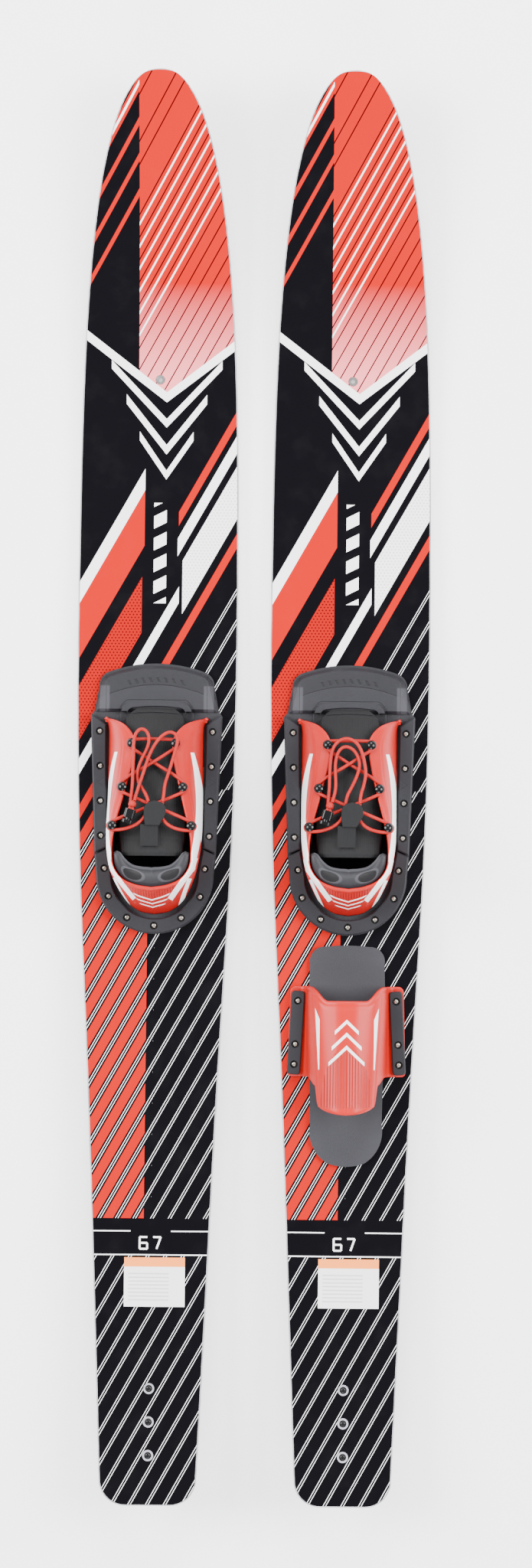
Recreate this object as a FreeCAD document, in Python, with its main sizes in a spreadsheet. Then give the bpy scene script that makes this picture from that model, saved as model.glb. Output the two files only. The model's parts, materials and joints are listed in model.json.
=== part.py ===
"""A pair of combination water skis with laced bindings, and a rear toe strap on the right ski.

Every ski is designed in its own frame: X across, Y towards the tip, Z up from the flat of the base,
with Y = 0 halfway along it. A ski at rest stands on its fin and on its forebody, so the last step
turns each one nose down by the angle that puts both on the floor, and sets it beside the other.
All lengths are in millimetres.
"""

import FreeCAD, Part

import math
import os

from FreeCAD import Placement, Rotation, Vector

SIZES = {
    # the board
    "ski_length": 1690.0,
    "tail_corner": 31.0,
    "ski_thick": 18.0,
    "end_thick": 10.0,
    "tip_rocker_start": 250.0,
    "tip_rise": 95.0,
    "tail_rocker_start": -460.0,
    "tail_rise": 23.0,
    "skin_thick": 1.2,
    "skin_inset": 1.6,
    "ski_spacing": 230.0,
    # the hole for a spreader bar, near the tip
    "grommet_place": 489.0,
    "grommet_bore": 5.0,
    "grommet_barrel": 7.6,
    "grommet_flange": 11.0,
    "grommet_lip": 0.9,
    # the fin and what holds it
    "fin_place": -749.0,
    "fin_pitch": 39.0,
    "fin_length": 128.0,
    "fin_flange_width": 24.0,
    "fin_flange_thick": 4.0,
    "fin_blade_thick": 6.0,
    "fin_depth": 50.0,
    "fin_boss": 13.0,
    "fin_boss_depth": 12.0,
    "fin_insert": 8.0,
    "fin_insert_length": 8.0,
    "fin_screw": 4.8,
    "fin_head": 8.6,
    "fin_head_rise": 2.6,
    "fin_washer": 13.0,
    "fin_washer_thick": 1.0,
    # the binding's plate and footbed
    "plate_thick": 4.0,
    "plate_margin": 1.0,
    "toe_rise": 5.0,
    "toe_bevel": 3.5,
    "ridge_rise": 4.5,
    "ridge_width": 7.0,
    "ridge_half": 42.0,
    "ridge_front": 106.0,
    "footbed_thick": 6.5,
    "footbed_half": 50.5,
    "plate_screw": 6.0,
    "plate_screw_head": 12.0,
    "insert_round": 10.0,
    "insert_length": 12.0,
    # the rails and the heel frame that clamp the upper down
    "flange_thick": 3.0,
    "rail_thick": 6.5,
    "rail_bevel": 1.4,
    "heel_centre": -102.0,
    "heel_outer": 69.0,
    "heel_inner": 51.5,
    "heel_screw_circle": 60.0,
    "heel_screw_step": 32.4,
    "rail_screw_front": 68.5,
    "rail_screw_pitch": 41.4,
    "rail_screw_line": 67.0,
    "rail_screw_draw": 0.9,
    "screw_head": 7.4,
    "screw_head_rise": 2.4,
    "screw_shank": 4.0,
    "screw_reach": 8.0,
    "screw_recess": 9.4,
    "recess_depth": 3.2,
    "running_gap": 0.1,
    # the soft upper
    "upper_thick": 3.6,
    "upper_bulge": 2.6,
    "tongue_thick": 4.0,
    "heel_pad_gap": 1.6,
    # lace hooks, lock and tab
    "lace_round": 4.0,
    "knot_round": 9.4,
    "hook_post": 5.0,
    "hook_cap": 11.0,
    "hook_rise": 5.6,
    "hook_cap_thick": 2.6,
    "lock_width": 12.4,
    "lock_height": 9.4,
    "lock_length": 10.5,
    "lock_bore": 7.0,
    "lock_bore_depth": 6.0,
    "lock_cap_thick": 3.6,
    "lock_travel": 2.2,
    "lock_hole_depth": 2.6,
    "spring_wire": 0.7,
    "tab_thick": 2.6,
    "tab_level": 110.5,
    "tab_strap_width": 21.0,
    "tab_strap_thick": 1.8,
    # the rear toe strap
    "rear_pad_front": -183.5,
    "rear_pad_length": 262.0,
    "rear_pad_half": 45.3,
    "rear_pad_thick": 5.0,
    "rear_strap_thick": 4.0,
    "rear_wing_inner": 48.0,
    "rear_wing_outer": 72.0,
    "clamp_width": 15.8,
    "clamp_length": 99.0,
    "clamp_thick": 6.5,
    "clamp_middle": -287.0,
    "clamp_line": 60.2,
    "clamp_splay": 3.0,
}

# The side of the board, from near the tip to the tail's corner: half width, and place along it.
BOARD_SIDE = [
    (18.9, 840.5),
    (34.3, 826.0),
    (58.2, 773.7),
    (79.0, 665.4),
    (90.2, 521.0),
    (95.0, 290.0),
    (95.2, 110.0),
    (90.4, -92.5),
    (79.4, -309.0),
    (66.8, -597.7),
    (57.6, -814.0),
]

# The upper's wall from its front corner round to the middle of the heel: foot across and along,
# edge across, along and up, then the share of the way in and up where its shoulder turns.
UPPER_STATIONS = [
    (66.0, 86.0, 62.0, 85.0, 31.0, 0.35, 0.85),
    (58.5, 80.0, 45.5, 79.0, 52.0, 0.30, 0.90),
    (56.8, 69.0, 31.0, 70.0, 69.0, 0.32, 0.92),
    (56.8, 54.0, 21.5, 54.0, 80.0, 0.34, 0.94),
    (56.8, 28.0, 25.0, 27.0, 87.5, 0.34, 0.95),
    (56.8, 1.0, 31.0, 1.0, 94.0, 0.34, 0.95),
    (56.6, -26.0, 37.5, -25.0, 100.5, 0.26, 0.96),
    (55.8, -52.0, 43.5, -49.0, 106.0, 0.20, 0.97),
    (53.4, -78.0, 47.5, -72.0, 107.5, 0.30, 0.90),
    (47.0, -106.0, 46.5, -92.0, 106.0, 0.50, 0.78),
    (35.0, -131.0, 36.0, -107.5, 104.5, 0.55, 0.74),
    (18.5, -145.0, 19.0, -115.5, 104.0, 0.55, 0.72),
    (0.0, -149.0, 0.0, -118.5, 104.0, 0.55, 0.72),
]
UPPER_ROWS = 7
FOOT_SPARE = 1.0

# Where the lace hooks stand on the upper: a station, counted with fractions, and a share of its wall.
HOOK_SPOTS = [(3.1, 0.94), (5.05, 0.92), (6.85, 0.92)]

# The tongue's middle line from its free front edge back to the ankle: along, up, and half width.
TONGUE_STATIONS = [
    (96.0, 49.0, 22.0),
    (86.0, 56.5, 34.0),
    (70.0, 66.0, 36.0),
    (45.0, 76.5, 34.0),
    (18.0, 84.0, 35.0),
    (-8.0, 90.5, 38.0),
    (-34.0, 97.0, 40.0),
    (-56.0, 101.8, 40.0),
    (-80.0, 105.6, 36.5),
]
TONGUE_DROP = 0.0085
INSIDE = Vector(0, -20, 50)

# The rear strap's half section, from its foot to its crown: across, and up from the deck.
REAR_SECTION_FRONT = [(49.6, -1.0), (48.8, 10.0), (45.0, 28.0), (33.0, 45.0), (15.0, 52.5), (0.0, 54.5)]
REAR_SECTION_BACK = [(49.6, -1.0), (47.5, 10.0), (41.5, 28.0), (31.0, 48.0), (15.0, 62.0), (0.0, 66.0)]

# The lace where the binding holds it, from the tab round the right back hook, across and forward
# over the tongue to the front hooks, and back the other way to the tab's left side.
LACE_RUN = [
    (12.7, -17.0, 107.0),
    (10.5, -27.0, 106.8),
    (12.5, -38.0, 107.0),
    (22.0, -46.5, 108.3),
    (36.0, -50.5, 109.4),
    (48.1, -50.5, 107.5),
    (51.2, -47.2, 106.2),
    (50.9, -42.8, 105.7),
    (40.0, -37.5, 107.0),
    (0.0, -21.0, 103.6),
    (-31.0, -8.0, 99.0),
    (-40.3, -3.0, 95.9),
    (-40.7, 2.6, 94.9),
    (-28.0, 13.0, 94.0),
    (0.0, 29.5, 90.0),
    (22.0, 44.0, 85.8),
    (30.7, 49.7, 83.1),
    (30.8, 54.0, 82.3),
    (27.8, 57.1, 82.2),
    (-27.8, 57.1, 82.2),
    (-30.8, 54.0, 82.3),
    (-30.7, 49.7, 83.1),
    (-22.0, 44.0, 85.8),
    (0.0, 29.5, 85.6),
    (28.0, 13.0, 94.0),
    (40.7, 2.6, 94.9),
    (40.3, -3.0, 95.9),
    (31.0, -8.0, 99.0),
    (0.0, -21.0, 99.2),
    (-40.0, -37.5, 107.0),
    (-50.9, -42.8, 105.7),
    (-51.2, -47.2, 106.2),
    (-48.1, -50.5, 107.5),
    (-36.0, -50.5, 109.4),
    (-22.0, -46.5, 108.3),
    (-10.5, -39.0, 107.2),
    (-5.0, -28.0, 107.0),
    (-4.0, -17.0, 107.0),
]

# The loose ends, each from the tab up to a loop over the front hooks and back down to the knot.
LOOSE_ENDS = {
    "left": [
        [
            (-4.0, -17.0, 107.0),
            (-6.5, -9.0, 104.5),
            (-12.5, -1.0, 99.5),
            (-17.5, 7.5, 95.6),
            (-18.0, 19.0, 94.6),
            (-13.5, 32.0, 93.0),
            (-7.0, 45.0, 90.0),
            (-4.5, 56.0, 88.5),
            (-7.0, 65.5, 86.5),
            (-14.0, 69.5, 86.0),
            (-20.5, 64.5, 88.0),
            (-23.0, 53.0, 91.0),
            (-22.3, 38.0, 93.5),
            (-23.0, 20.0, 97.2),
            (-23.0, 4.0, 99.5),
            (-24.0, -9.0, 103.5),
            (-24.5, -18.0, 108.0),
        ],
        [
            (12.7, -17.0, 107.0),
            (14.0, -8.0, 105.0),
            (14.5, 3.0, 100.0),
            (18.5, 16.0, 97.5),
            (22.5, 30.0, 94.0),
            (26.0, 43.5, 92.0),
            (29.0, 55.0, 91.0),
            (26.0, 63.5, 89.0),
            (18.0, 65.5, 88.0),
            (9.0, 60.0, 88.0),
            (1.5, 50.0, 90.0),
            (-4.0, 38.0, 94.6),
            (-8.5, 24.0, 98.0),
            (-12.5, 10.0, 101.0),
            (-17.0, -4.0, 104.5),
            (-20.0, -16.5, 109.0),
        ],
    ],
    "right": [
        [
            (-4.0, -17.0, 107.0),
            (-3.0, -9.0, 105.5),
            (3.0, 2.0, 101.0),
            (9.0, 15.0, 96.0),
            (12.5, 28.0, 94.6),
            (9.5, 40.0, 91.5),
            (3.0, 48.0, 90.5),
            (-6.0, 50.5, 90.0),
            (-13.0, 45.0, 91.0),
            (-16.5, 33.0, 93.0),
            (-16.5, 19.0, 97.0),
            (-15.5, 6.0, 99.5),
            (-16.5, -6.0, 103.5),
            (-20.0, -16.5, 109.0),
        ],
        [
            (12.7, -17.0, 107.0),
            (13.0, -8.0, 105.0),
            (17.0, 4.0, 101.0),
            (19.5, 18.0, 97.5),
            (17.5, 32.0, 94.5),
            (14.0, 45.0, 95.0),
            (8.0, 55.0, 93.0),
            (-2.0, 60.0, 91.5),
            (-12.0, 57.5, 92.0),
            (-19.5, 49.0, 92.0),
            (-22.0, 36.0, 93.5),
            (-23.0, 20.0, 97.0),
            (-23.0, 4.0, 99.5),
            (-24.0, -9.0, 103.5),
            (-24.5, -18.0, 108.0),
        ],
    ],
}
LOCK_MOUTH = Vector(-23.7, -26.3, 111.8)
LOCK_TURN = -16.8
KNOT_MIDDLE = Vector(-22.4, -20.4, 110.4)


doc = FreeCAD.newDocument("water_skis")


def fill_sheet():
    """Puts every driving size in the spreadsheet under its own name."""
    table = doc.addObject("Spreadsheet::Sheet", "sizes")
    for row, (name, number) in enumerate(SIZES.items(), start=1):
        table.set(f"A{row}", name)
        table.set(f"B{row}", str(number))
        table.setAlias(f"B{row}", name)
    doc.recompute()
    return table


sheet = fill_sheet()


def size(name):
    """The number that the spreadsheet holds under a name."""
    return float(sheet.get(name))


# ---------------------------------------------------------------- helpers


def bind(thing, **formulas):
    """Binds properties of an object to formulas on the spreadsheet's names."""
    for name, formula in formulas.items():
        thing.setExpression(name, formula)
    return thing


def at(x=0.0, y=0.0, z=0.0, turn=0.0, axis=Vector(0, 0, 1)):
    """A placement at a point, turned by some degrees about an axis."""
    return Placement(Vector(x, y, z), Rotation(axis, turn))


def round_bar(name, diameter, length, place):
    """A cylinder whose diameter and length are formulas, standing at a placement."""
    bar = doc.addObject("Part::Cylinder", name)
    bind(bar, Radius=f"({diameter}) / 2", Height=length)
    bar.Placement = place
    return bar


def block(name, wide, long, tall, place):
    """A box centred across and along its placement, with its foot on it."""
    body = doc.addObject("Part::Box", name)
    bind(body, Length=wide, Width=long, Height=tall)
    doc.recompute()
    middle = Placement(Vector(-body.Length.Value / 2, -body.Width.Value / 2, 0), Rotation())
    body.Placement = place.multiply(middle)
    return body


def fuse(name, *pieces):
    """One solid from pieces that overlap."""
    whole = doc.addObject("Part::MultiFuse", name)
    whole.Shapes = list(pieces)
    whole.Refine = True
    return whole


def common(name, first, second):
    """What two solids share."""
    whole = doc.addObject("Part::Common", name)
    whole.Base = first
    whole.Tool = second
    return whole


def cut(name, first, second):
    """A solid with another one taken out of it."""
    whole = doc.addObject("Part::Cut", name)
    whole.Base = first
    whole.Tool = second
    return whole


def own(name, shape):
    """A feature that holds a shape made by hand."""
    thing = doc.addObject("Part::Feature", name)
    thing.Shape = shape
    return thing


def pad(name, edges, height, level, bevel=None):
    """A body: a sketch of closed outlines on XY at some level, padded up, its top rim bevelled."""
    body = doc.addObject("PartDesign::Body", name)
    sketch = body.newObject("Sketcher::SketchObject", name + "_outline")
    plane = [f for f in body.Origin.OriginFeatures if f.Role == "XY_Plane"][0]
    sketch.AttachmentSupport = (plane, [""])
    sketch.MapMode = "FlatFace"
    sketch.AttachmentOffset = at(z=level)
    sketch.addGeometry(edges, False)
    feature = body.newObject("PartDesign::Pad", name + "_pad")
    feature.Profile = sketch
    feature.setExpression("Length", height)
    doc.recompute()
    if bevel:
        top = feature.Shape.BoundBox.ZMax
        rim = [
            f"Edge{n}"
            for n, edge in enumerate(feature.Shape.Edges, start=1)
            if edge.BoundBox.ZMin > top - 0.01
        ]
        edge = body.newObject("PartDesign::Chamfer", name + "_bevel")
        edge.Base = (feature, rim)
        edge.setExpression("Size", bevel)
        body.Tip = edge
    return body


def line(*points):
    """Straight edges through points of the XY plane."""
    spots = [Vector(x, y, 0) for x, y in points]
    return [Part.LineSegment(a, b) for a, b in zip(spots, spots[1:])]


def arc(start, middle, end):
    """An arc of the XY plane through three points."""
    return [Part.Arc(*[Vector(x, y, 0) for x, y in (start, middle, end)])]


def polar(centre, radius, angle):
    """The point at some angle on a circle about a point on the long axis."""
    turn = math.radians(angle)
    return (radius * math.cos(turn), centre + radius * math.sin(turn))


def wall(name, outer, inner):
    """A closed solid between two grids of points, with ruled sides between their rims."""
    faces = []
    for grid in (outer, inner):
        surface = Part.BSplineSurface()
        surface.interpolate(grid)
        faces.append(surface)
    first, second = faces
    shells = [first.toShape(), second.toShape()]
    u0, u1, v0, v1 = first.bounds()
    w0, w1, z0, z1 = second.bounds()
    for own_rim, other_rim in (
        (first.uIso(u0), second.uIso(w0)),
        (first.uIso(u1), second.uIso(w1)),
        (first.vIso(v0), second.vIso(z0)),
        (first.vIso(v1), second.vIso(z1)),
    ):
        shells.append(Part.makeRuledSurface(own_rim.toShape(), other_rim.toShape()))
    skin = Part.makeShell(shells)
    skin.sewShape()
    solid = Part.makeSolid(skin)
    if solid.isInside(Vector(0, 0, 1e4), 1e-3, False):
        solid.reverse()
    return own(name, solid)


# ---------------------------------------------------------------- the board


def base_height(along):
    """Height of the base above its flat, at a place along the ski."""
    half = size("ski_length") / 2
    tip, tail = size("tip_rocker_start"), size("tail_rocker_start")
    if along > tip:
        return size("tip_rise") * ((along - tip) / (half - tip)) ** 2.2
    if along < tail:
        return size("tail_rise") * ((tail - along) / (half + tail)) ** 2
    return 0.0


def board_thickness(along):
    """Thickness of the whole board, thinned smoothly over both rockers."""
    half = size("ski_length") / 2
    tip, tail = size("tip_rocker_start"), size("tail_rocker_start")
    share = 0.0
    if along > tip:
        share = (along - tip) / (half - tip)
    if along < tail:
        share = (tail - along) / (half + tail)
    thinned = share * share * (3 - 2 * share)
    return size("ski_thick") - (size("ski_thick") - size("end_thick")) * thinned


def slope(height, along):
    """How steeply a height changes along the ski, in degrees."""
    step = 1.0
    return math.degrees(math.atan((height(along + step) - height(along - step)) / (2 * step)))


def side_line(height):
    """Edges of a long line in the YZ plane: curved tail, straight middle, curved tip."""
    half = size("ski_length") / 2 + 2.0
    tip, tail = size("tip_rocker_start"), size("tail_rocker_start")
    edges = []
    level = Vector(0, 1, 0)
    for start, end, count in ((-half, tail, 5), (tip, half, 7)):
        spots = [start + (end - start) * n / (count - 1) for n in range(count)]
        curve = Part.BSplineCurve()
        points = [Vector(0, y, height(y)) for y in spots]
        rise = [math.tan(math.radians(slope(height, y))) for y in (start, end)]
        if start == tip:
            curve.interpolate(Points=points, InitialTangent=level, FinalTangent=Vector(0, 1, rise[1]))
        else:
            curve.interpolate(Points=points, InitialTangent=Vector(0, 1, rise[0]), FinalTangent=level)
        edges.append(curve.toShape())
    middle = Part.LineSegment(Vector(0, tail, height(tail)), Vector(0, tip, height(tip))).toShape()
    return [edges[0], middle, edges[1]]


def layer(name, bottom, top):
    """A slab as wide as a ski between two heights that vary along it."""
    low, high = side_line(bottom), side_line(top)
    half = size("ski_length") / 2 + 2.0
    tail_end = Part.makeLine(Vector(0, -half, bottom(-half)), Vector(0, -half, top(-half)))
    tip_end = Part.makeLine(Vector(0, half, bottom(half)), Vector(0, half, top(half)))
    rim = Part.Wire(Part.__sortEdges__(low + high + [tail_end, tip_end]))
    side = own(name + "_side", Part.Face(rim))
    slab = doc.addObject("Part::Extrusion", name + "_slab")
    slab.Base = side
    slab.DirMode = "Custom"
    slab.Dir = Vector(1, 0, 0)
    slab.LengthFwd = 200
    slab.Symmetric = True
    return slab


def board_plan(name, inset):
    """The outline of the ski, drawn in by an inset, as a tall prism."""
    half = size("ski_length") / 2
    side = [(wide - inset, along) for wide, along in BOARD_SIDE]
    round_tip = [Vector(-x, y, 0) for x, y in side[::-1]] + [Vector(0, half - inset, 0)]
    round_tip += [Vector(x, y, 0) for x, y in side]
    curve = Part.BSplineCurve()
    curve.interpolate(round_tip)
    spans = [curve.parameter(point) for point in round_tip]
    edges = [curve.toShape(a, b) for a, b in zip(spans, spans[1:])]
    wide, along = side[-1]
    turn = size("tail_corner") - inset
    middle = (wide - turn * (1 - math.sqrt(0.5)), along - turn * math.sqrt(0.5))
    end = (wide - turn, -half + inset)
    for sign in (1, -1):
        corner = arc((sign * wide, along), (sign * middle[0], middle[1]), (sign * end[0], end[1]))
        edges.append(corner[0].toShape())
    edges.append(Part.makeLine(Vector(end[0], end[1], 0), Vector(-end[0], end[1], 0)))
    rim = Part.Wire(Part.__sortEdges__(edges))
    face = own(name + "_plan", Part.Face(rim))
    prism = doc.addObject("Part::Extrusion", name + "_prism")
    prism.Base = face
    prism.DirMode = "Custom"
    prism.Dir = Vector(0, 0, 1)
    prism.LengthFwd = 160
    prism.LengthRev = 20
    return prism


def deck_frame(along, on_deck):
    """A placement on the deck or on the base at a place along the ski, square to the surface."""

    def deck(y):
        return base_height(y) + board_thickness(y)

    surface = deck if on_deck else base_height
    return at(0, along, surface(along), slope(surface, along), Vector(1, 0, 0))



# ---------------------------------------------------------------- drilled places


def drill(name, holes):
    """A tool of round holes: each is a diameter, a length and the placement of its foot."""
    bars = []
    for diameter, length, place in holes:
        bar = Part.makeCylinder(diameter / 2, length)
        bar.Placement = place
        bars.append(bar)
    return own(name, bars[0].multiFuse(bars[1:]))


def copies(name, model, places):
    """The same solid at several placements, as separate solids."""
    solids = []
    for place in places:
        solid = model.Shape.copy()
        solid.Placement = place.multiply(solid.Placement)
        solids.append(solid)
    return own(name, Part.makeCompound(solids))


def rail_spots(sign):
    """Where the screws of one rail stand, from the front one back."""
    line_x, draw = size("rail_screw_line"), size("rail_screw_draw")
    front, pitch = size("rail_screw_front"), size("rail_screw_pitch")
    return [(sign * (line_x - draw * n), front - pitch * n) for n in range(4)]


def heel_spots():
    """Where the screws of the heel frame stand, from one end round to the other."""
    step = size("heel_screw_step")
    return [polar(size("heel_centre"), size("heel_screw_circle"), -90 + step * n) for n in range(-3, 4)]


def clamp_place(sign):
    """The middle of a rear clamp bar's foot, turned so that the pair opens towards the tail."""
    level = size("ski_thick") + size("rear_strap_thick")
    return at(sign * size("clamp_line"), size("clamp_middle"), level, sign * size("clamp_splay"))


def clamp_spots():
    """Where the rear clamps' screws stand."""
    spots = []
    for sign in (1, -1):
        for along in (37.7, -13.7, -37.6):
            spot = clamp_place(sign).multVec(Vector(0, along, 0))
            spots.append((spot.x, spot.y))
    return spots


def plate_spots():
    """Where the hidden screws hold the binding's plate to the board."""
    return [(x, y) for x in (-30, 30) for y in (-88, 56)]


def fin_places(on_deck):
    """Placements of the fin's screws, on the deck or on the base."""
    seat = deck_frame(size("fin_place"), False)
    rise = board_thickness(size("fin_place")) if on_deck else 0.0
    pitch = size("fin_pitch")
    return [seat.multiply(at(y=pitch * n, z=rise)) for n in (-1, 0, 1)]


# ---------------------------------------------------------------- board, grommet and fin


def board_holes(name, rear):
    """Everything that is drilled in a board: for the grommet, the fin, the plate and the strap."""
    gap = 2 * size("running_gap")
    tip = deck_frame(size("grommet_place"), True)
    deep = board_thickness(size("grommet_place"))
    washer = size("fin_washer")
    sunk = 0.5
    holes = [(size("grommet_barrel") + gap, 60, tip.multiply(at(z=-40)))]
    holes.append((size("grommet_flange") + gap, 10, tip.multiply(at(z=-sunk))))
    holes.append((size("grommet_flange") + gap, 10, tip.multiply(at(z=-deep - 10 + sunk))))
    for place in fin_places(True):
        holes.append((size("fin_screw") + gap, 60, place.multiply(at(z=-40))))
        holes.append((washer + gap, 10, place.multiply(at(z=-sunk))))
    for x, y in plate_spots():
        level = size("ski_thick") - size("skin_thick") - size("insert_length")
        holes.append((size("insert_round") + gap, size("insert_length"), at(x, y, level)))
        holes.append((size("plate_screw") + gap, 20, at(x, y, level)))
    if rear:
        for x, y in clamp_spots():
            holes.append((size("screw_shank") + gap, 20, at(x, y, 7)))
    return drill(name, holes)


def make_board(side, rear):
    """Core, deck skin and base skin of one ski."""
    skin = size("skin_thick")

    def deck(y):
        return base_height(y) + board_thickness(y)

    plan = board_plan(side + "_plan", 0.0)
    inner_plan = board_plan(side + "_skin_plan", size("skin_inset"))
    holes = board_holes(side + "_holes", rear)
    made = {}
    for part, low, high, outline in (
        ("ski_core", lambda y: base_height(y) + skin, lambda y: deck(y) - skin, plan),
        ("top_sheet", lambda y: deck(y) - skin, deck, inner_plan),
        ("base_sheet", base_height, lambda y: base_height(y) + skin, inner_plan),
    ):
        name = f"{side}_{part}"
        slab = layer(name, low, high)
        made[name] = cut(name, common(name + "_blank", slab, outline), holes)
    return made


def make_grommet(side):
    """The flanged eyelet that lines the hole near the tip."""
    place = deck_frame(size("grommet_place"), True)
    deep = board_thickness(size("grommet_place"))
    sunk, lip = 0.5, size("grommet_lip")
    top = round_bar(side + "_eye_top", "sizes.grommet_flange", "sizes.grommet_lip", at(z=-sunk))
    low = round_bar(side + "_eye_low", "sizes.grommet_flange", "sizes.grommet_lip", at(z=sunk - deep - lip))
    tube = own(side + "_eye_tube", Part.makeCylinder(size("grommet_barrel") / 2, deep, Vector(0, 0, -deep)))
    hole = Part.makeCylinder(size("grommet_bore") / 2, deep + 10, Vector(0, 0, -deep - 5))
    bore = own(side + "_eye_bore", hole)
    eyelet = cut(side + "_tip_grommet", fuse(side + "_eye", top, low, tube), bore)
    eyelet.Placement = place
    return {side + "_tip_grommet": eyelet}


def make_screw(name, head, rise, shank, reach, slot):
    """A domed cross-head screw: its head sits on z = 0 and its shank hangs below."""
    dome_radius = (head * head / 4 + rise * rise) / (2 * rise)
    dome = Part.makeSphere(dome_radius, Vector(0, 0, rise - dome_radius))
    body = Part.makeCylinder(head / 2, rise).common(dome)
    body = body.fuse(Part.makeCylinder(shank / 2, reach, Vector(0, 0, -reach)))
    for turn in (0, 90):
        arm = Part.makeBox(slot * 4, slot, rise, Vector(-slot * 2, -slot / 2, rise * 0.35))
        arm.rotate(Vector(), Vector(0, 0, 1), turn)
        body = body.cut(arm)
    return own(name, body.removeSplitter())


def make_fin(side):
    """The tail fin with its brass inserts, and the screws and washers that hold it from the deck."""
    seat = deck_frame(size("fin_place"), False)
    long, deep = size("fin_length"), size("fin_depth")
    wide, thick = size("fin_flange_width"), size("fin_flange_thick")
    flange = Part.makeBox(wide, long, thick + 2, Vector(-wide / 2, -long / 2, -thick))
    upright = [e for e in flange.Edges if e.BoundBox.ZLength > thick]
    flange = flange.makeFillet(wide / 2 - 0.5, upright)
    blade = size("fin_blade_thick")
    sections = []
    for level, front, back, half in ((-thick / 2, 52, -58, blade / 2), (-deep, 8, -52, blade / 4)):
        rim = Part.makePolygon(
            [
                Vector(0, front, level),
                Vector(half, (3 * front + back) / 4, level),
                Vector(half, (front + 3 * back) / 4, level),
                Vector(0, back, level),
                Vector(-half, (front + 3 * back) / 4, level),
                Vector(-half, (3 * front + back) / 4, level),
                Vector(0, front, level),
            ]
        )
        sections.append(rim)
    body = flange.fuse(Part.makeLoft(sections, True, True))
    boss_deep = size("fin_boss_depth")
    for n in (-1, 0, 1):
        spot = Vector(0, size("fin_pitch") * n, -boss_deep)
        body = body.fuse(Part.makeCylinder(size("fin_boss") / 2, boss_deep, spot))
    fin = own(side + "_fin_blank", body.removeSplitter())
    fin.Placement = seat
    insert_round, insert_long = size("fin_insert"), size("fin_insert_length")
    gap = 2 * size("running_gap")
    holes = []
    for place in fin_places(False):
        holes.append((insert_round, insert_long + 4, place.multiply(at(z=-insert_long - 0.8))))
    drilled = cut(side + "_fin_drilled", fin, drill(side + "_fin_holes", holes))
    # the flange is trimmed to the base that it is screwed against
    above = layer(side + "_fin_trim", base_height, lambda y: base_height(y) + 40)
    made = {side + "_fin": cut(side + "_fin", drilled, above)}

    tube = Part.makeCylinder(insert_round / 2 - 0.05, insert_long, Vector(0, 0, -insert_long - 0.8))
    tube = tube.cut(Part.makeCylinder(size("fin_screw") / 2 + gap / 4, 40, Vector(0, 0, -20)))
    model = own(side + "_fin_insert_model", tube)
    made[side + "_fin_inserts"] = copies(side + "_fin_inserts", model, fin_places(False))

    deck = fin_places(True)
    thin = size("fin_washer_thick")
    ring = Part.makeCylinder(size("fin_washer") / 2, thin, Vector(0, 0, -0.45))
    ring = ring.cut(Part.makeCylinder(size("fin_screw") / 2 + gap / 2, 40, Vector(0, 0, -20)))
    model = own(side + "_fin_washer_model", ring)
    made[side + "_fin_washers"] = copies(side + "_fin_washers", model, deck)
    reach = thin - 0.45 + board_thickness(size("fin_place")) + insert_long - 0.5
    model = make_screw(
        side + "_fin_screw_model", size("fin_head"), size("fin_head_rise"), size("fin_screw"), reach, 1.1
    )
    seats = [place.multiply(at(z=thin - 0.44)) for place in deck]
    made[side + "_fin_screws"] = copies(side + "_fin_screws", model, seats)
    return made


# ---------------------------------------------------------------- the binding's hard parts


def plate_outline():
    """The binding plate's outline: a broad toe, straight sides that close a little, a round heel."""
    heel, round_heel = size("heel_centre"), size("heel_outer") + size("plate_margin")
    sides = [(57, 140), (68.5, 122), (74, 93), (78.5, 87), (72.5, -77), (round_heel, heel)]
    left = [(-x, y) for x, y in sides]
    edges = arc(left[0], (0, 150), sides[0])
    edges += arc(sides[0], (65.3, 133.6), sides[1]) + line(*sides[1:])
    edges += arc(sides[-1], (0, heel - round_heel), left[-1])
    edges += line(*left[:0:-1]) + arc(left[1], (-65.3, 133.6), left[0])
    return edges


def toe_outline():
    """The raised toe bumper, a little inside the plate's own outline."""
    half = [(56, 137), (66.5, 120.5), (72, 96), (72, 92)]
    left = [(-x, y) for x, y in half]
    edges = arc(left[0], (0, 147), half[0]) + arc(half[0], (63.4, 131), half[1]) + line(*half[1:])
    edges += line(half[-1], left[-1]) + line(*left[:0:-1]) + arc(left[1], (-63.4, 131), left[0])
    return edges


def ridge_outline():
    """The arch that stops the toes: a bowed front with round shoulders, open to the back."""
    wide, thick, front = size("ridge_half"), size("ridge_width"), size("ridge_front")
    back = 92.5
    inner = wide - thick

    def half(reach, top, turn):
        corner = (reach - turn * (1 - math.sqrt(0.5)), top - 2 - turn * (1 - math.sqrt(0.5)))
        return (reach, top - 2 - turn), corner, (reach - turn, top - 2)

    edges = []
    for reach, top, turn in ((wide, front, 14.0), (inner, front - thick, 8.0)):
        low, corner, high = half(reach, top, turn)
        edges += line((reach, back), low) + arc(low, corner, high)
        edges += arc(high, (0, top), (-high[0], high[1]))
        edges += arc((-high[0], high[1]), (-corner[0], corner[1]), (-low[0], low[1]))
        edges += line((-low[0], low[1]), (-reach, back))
    edges += line((wide, back), (inner, back)) + line((-wide, back), (-inner, back))
    return edges


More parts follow.
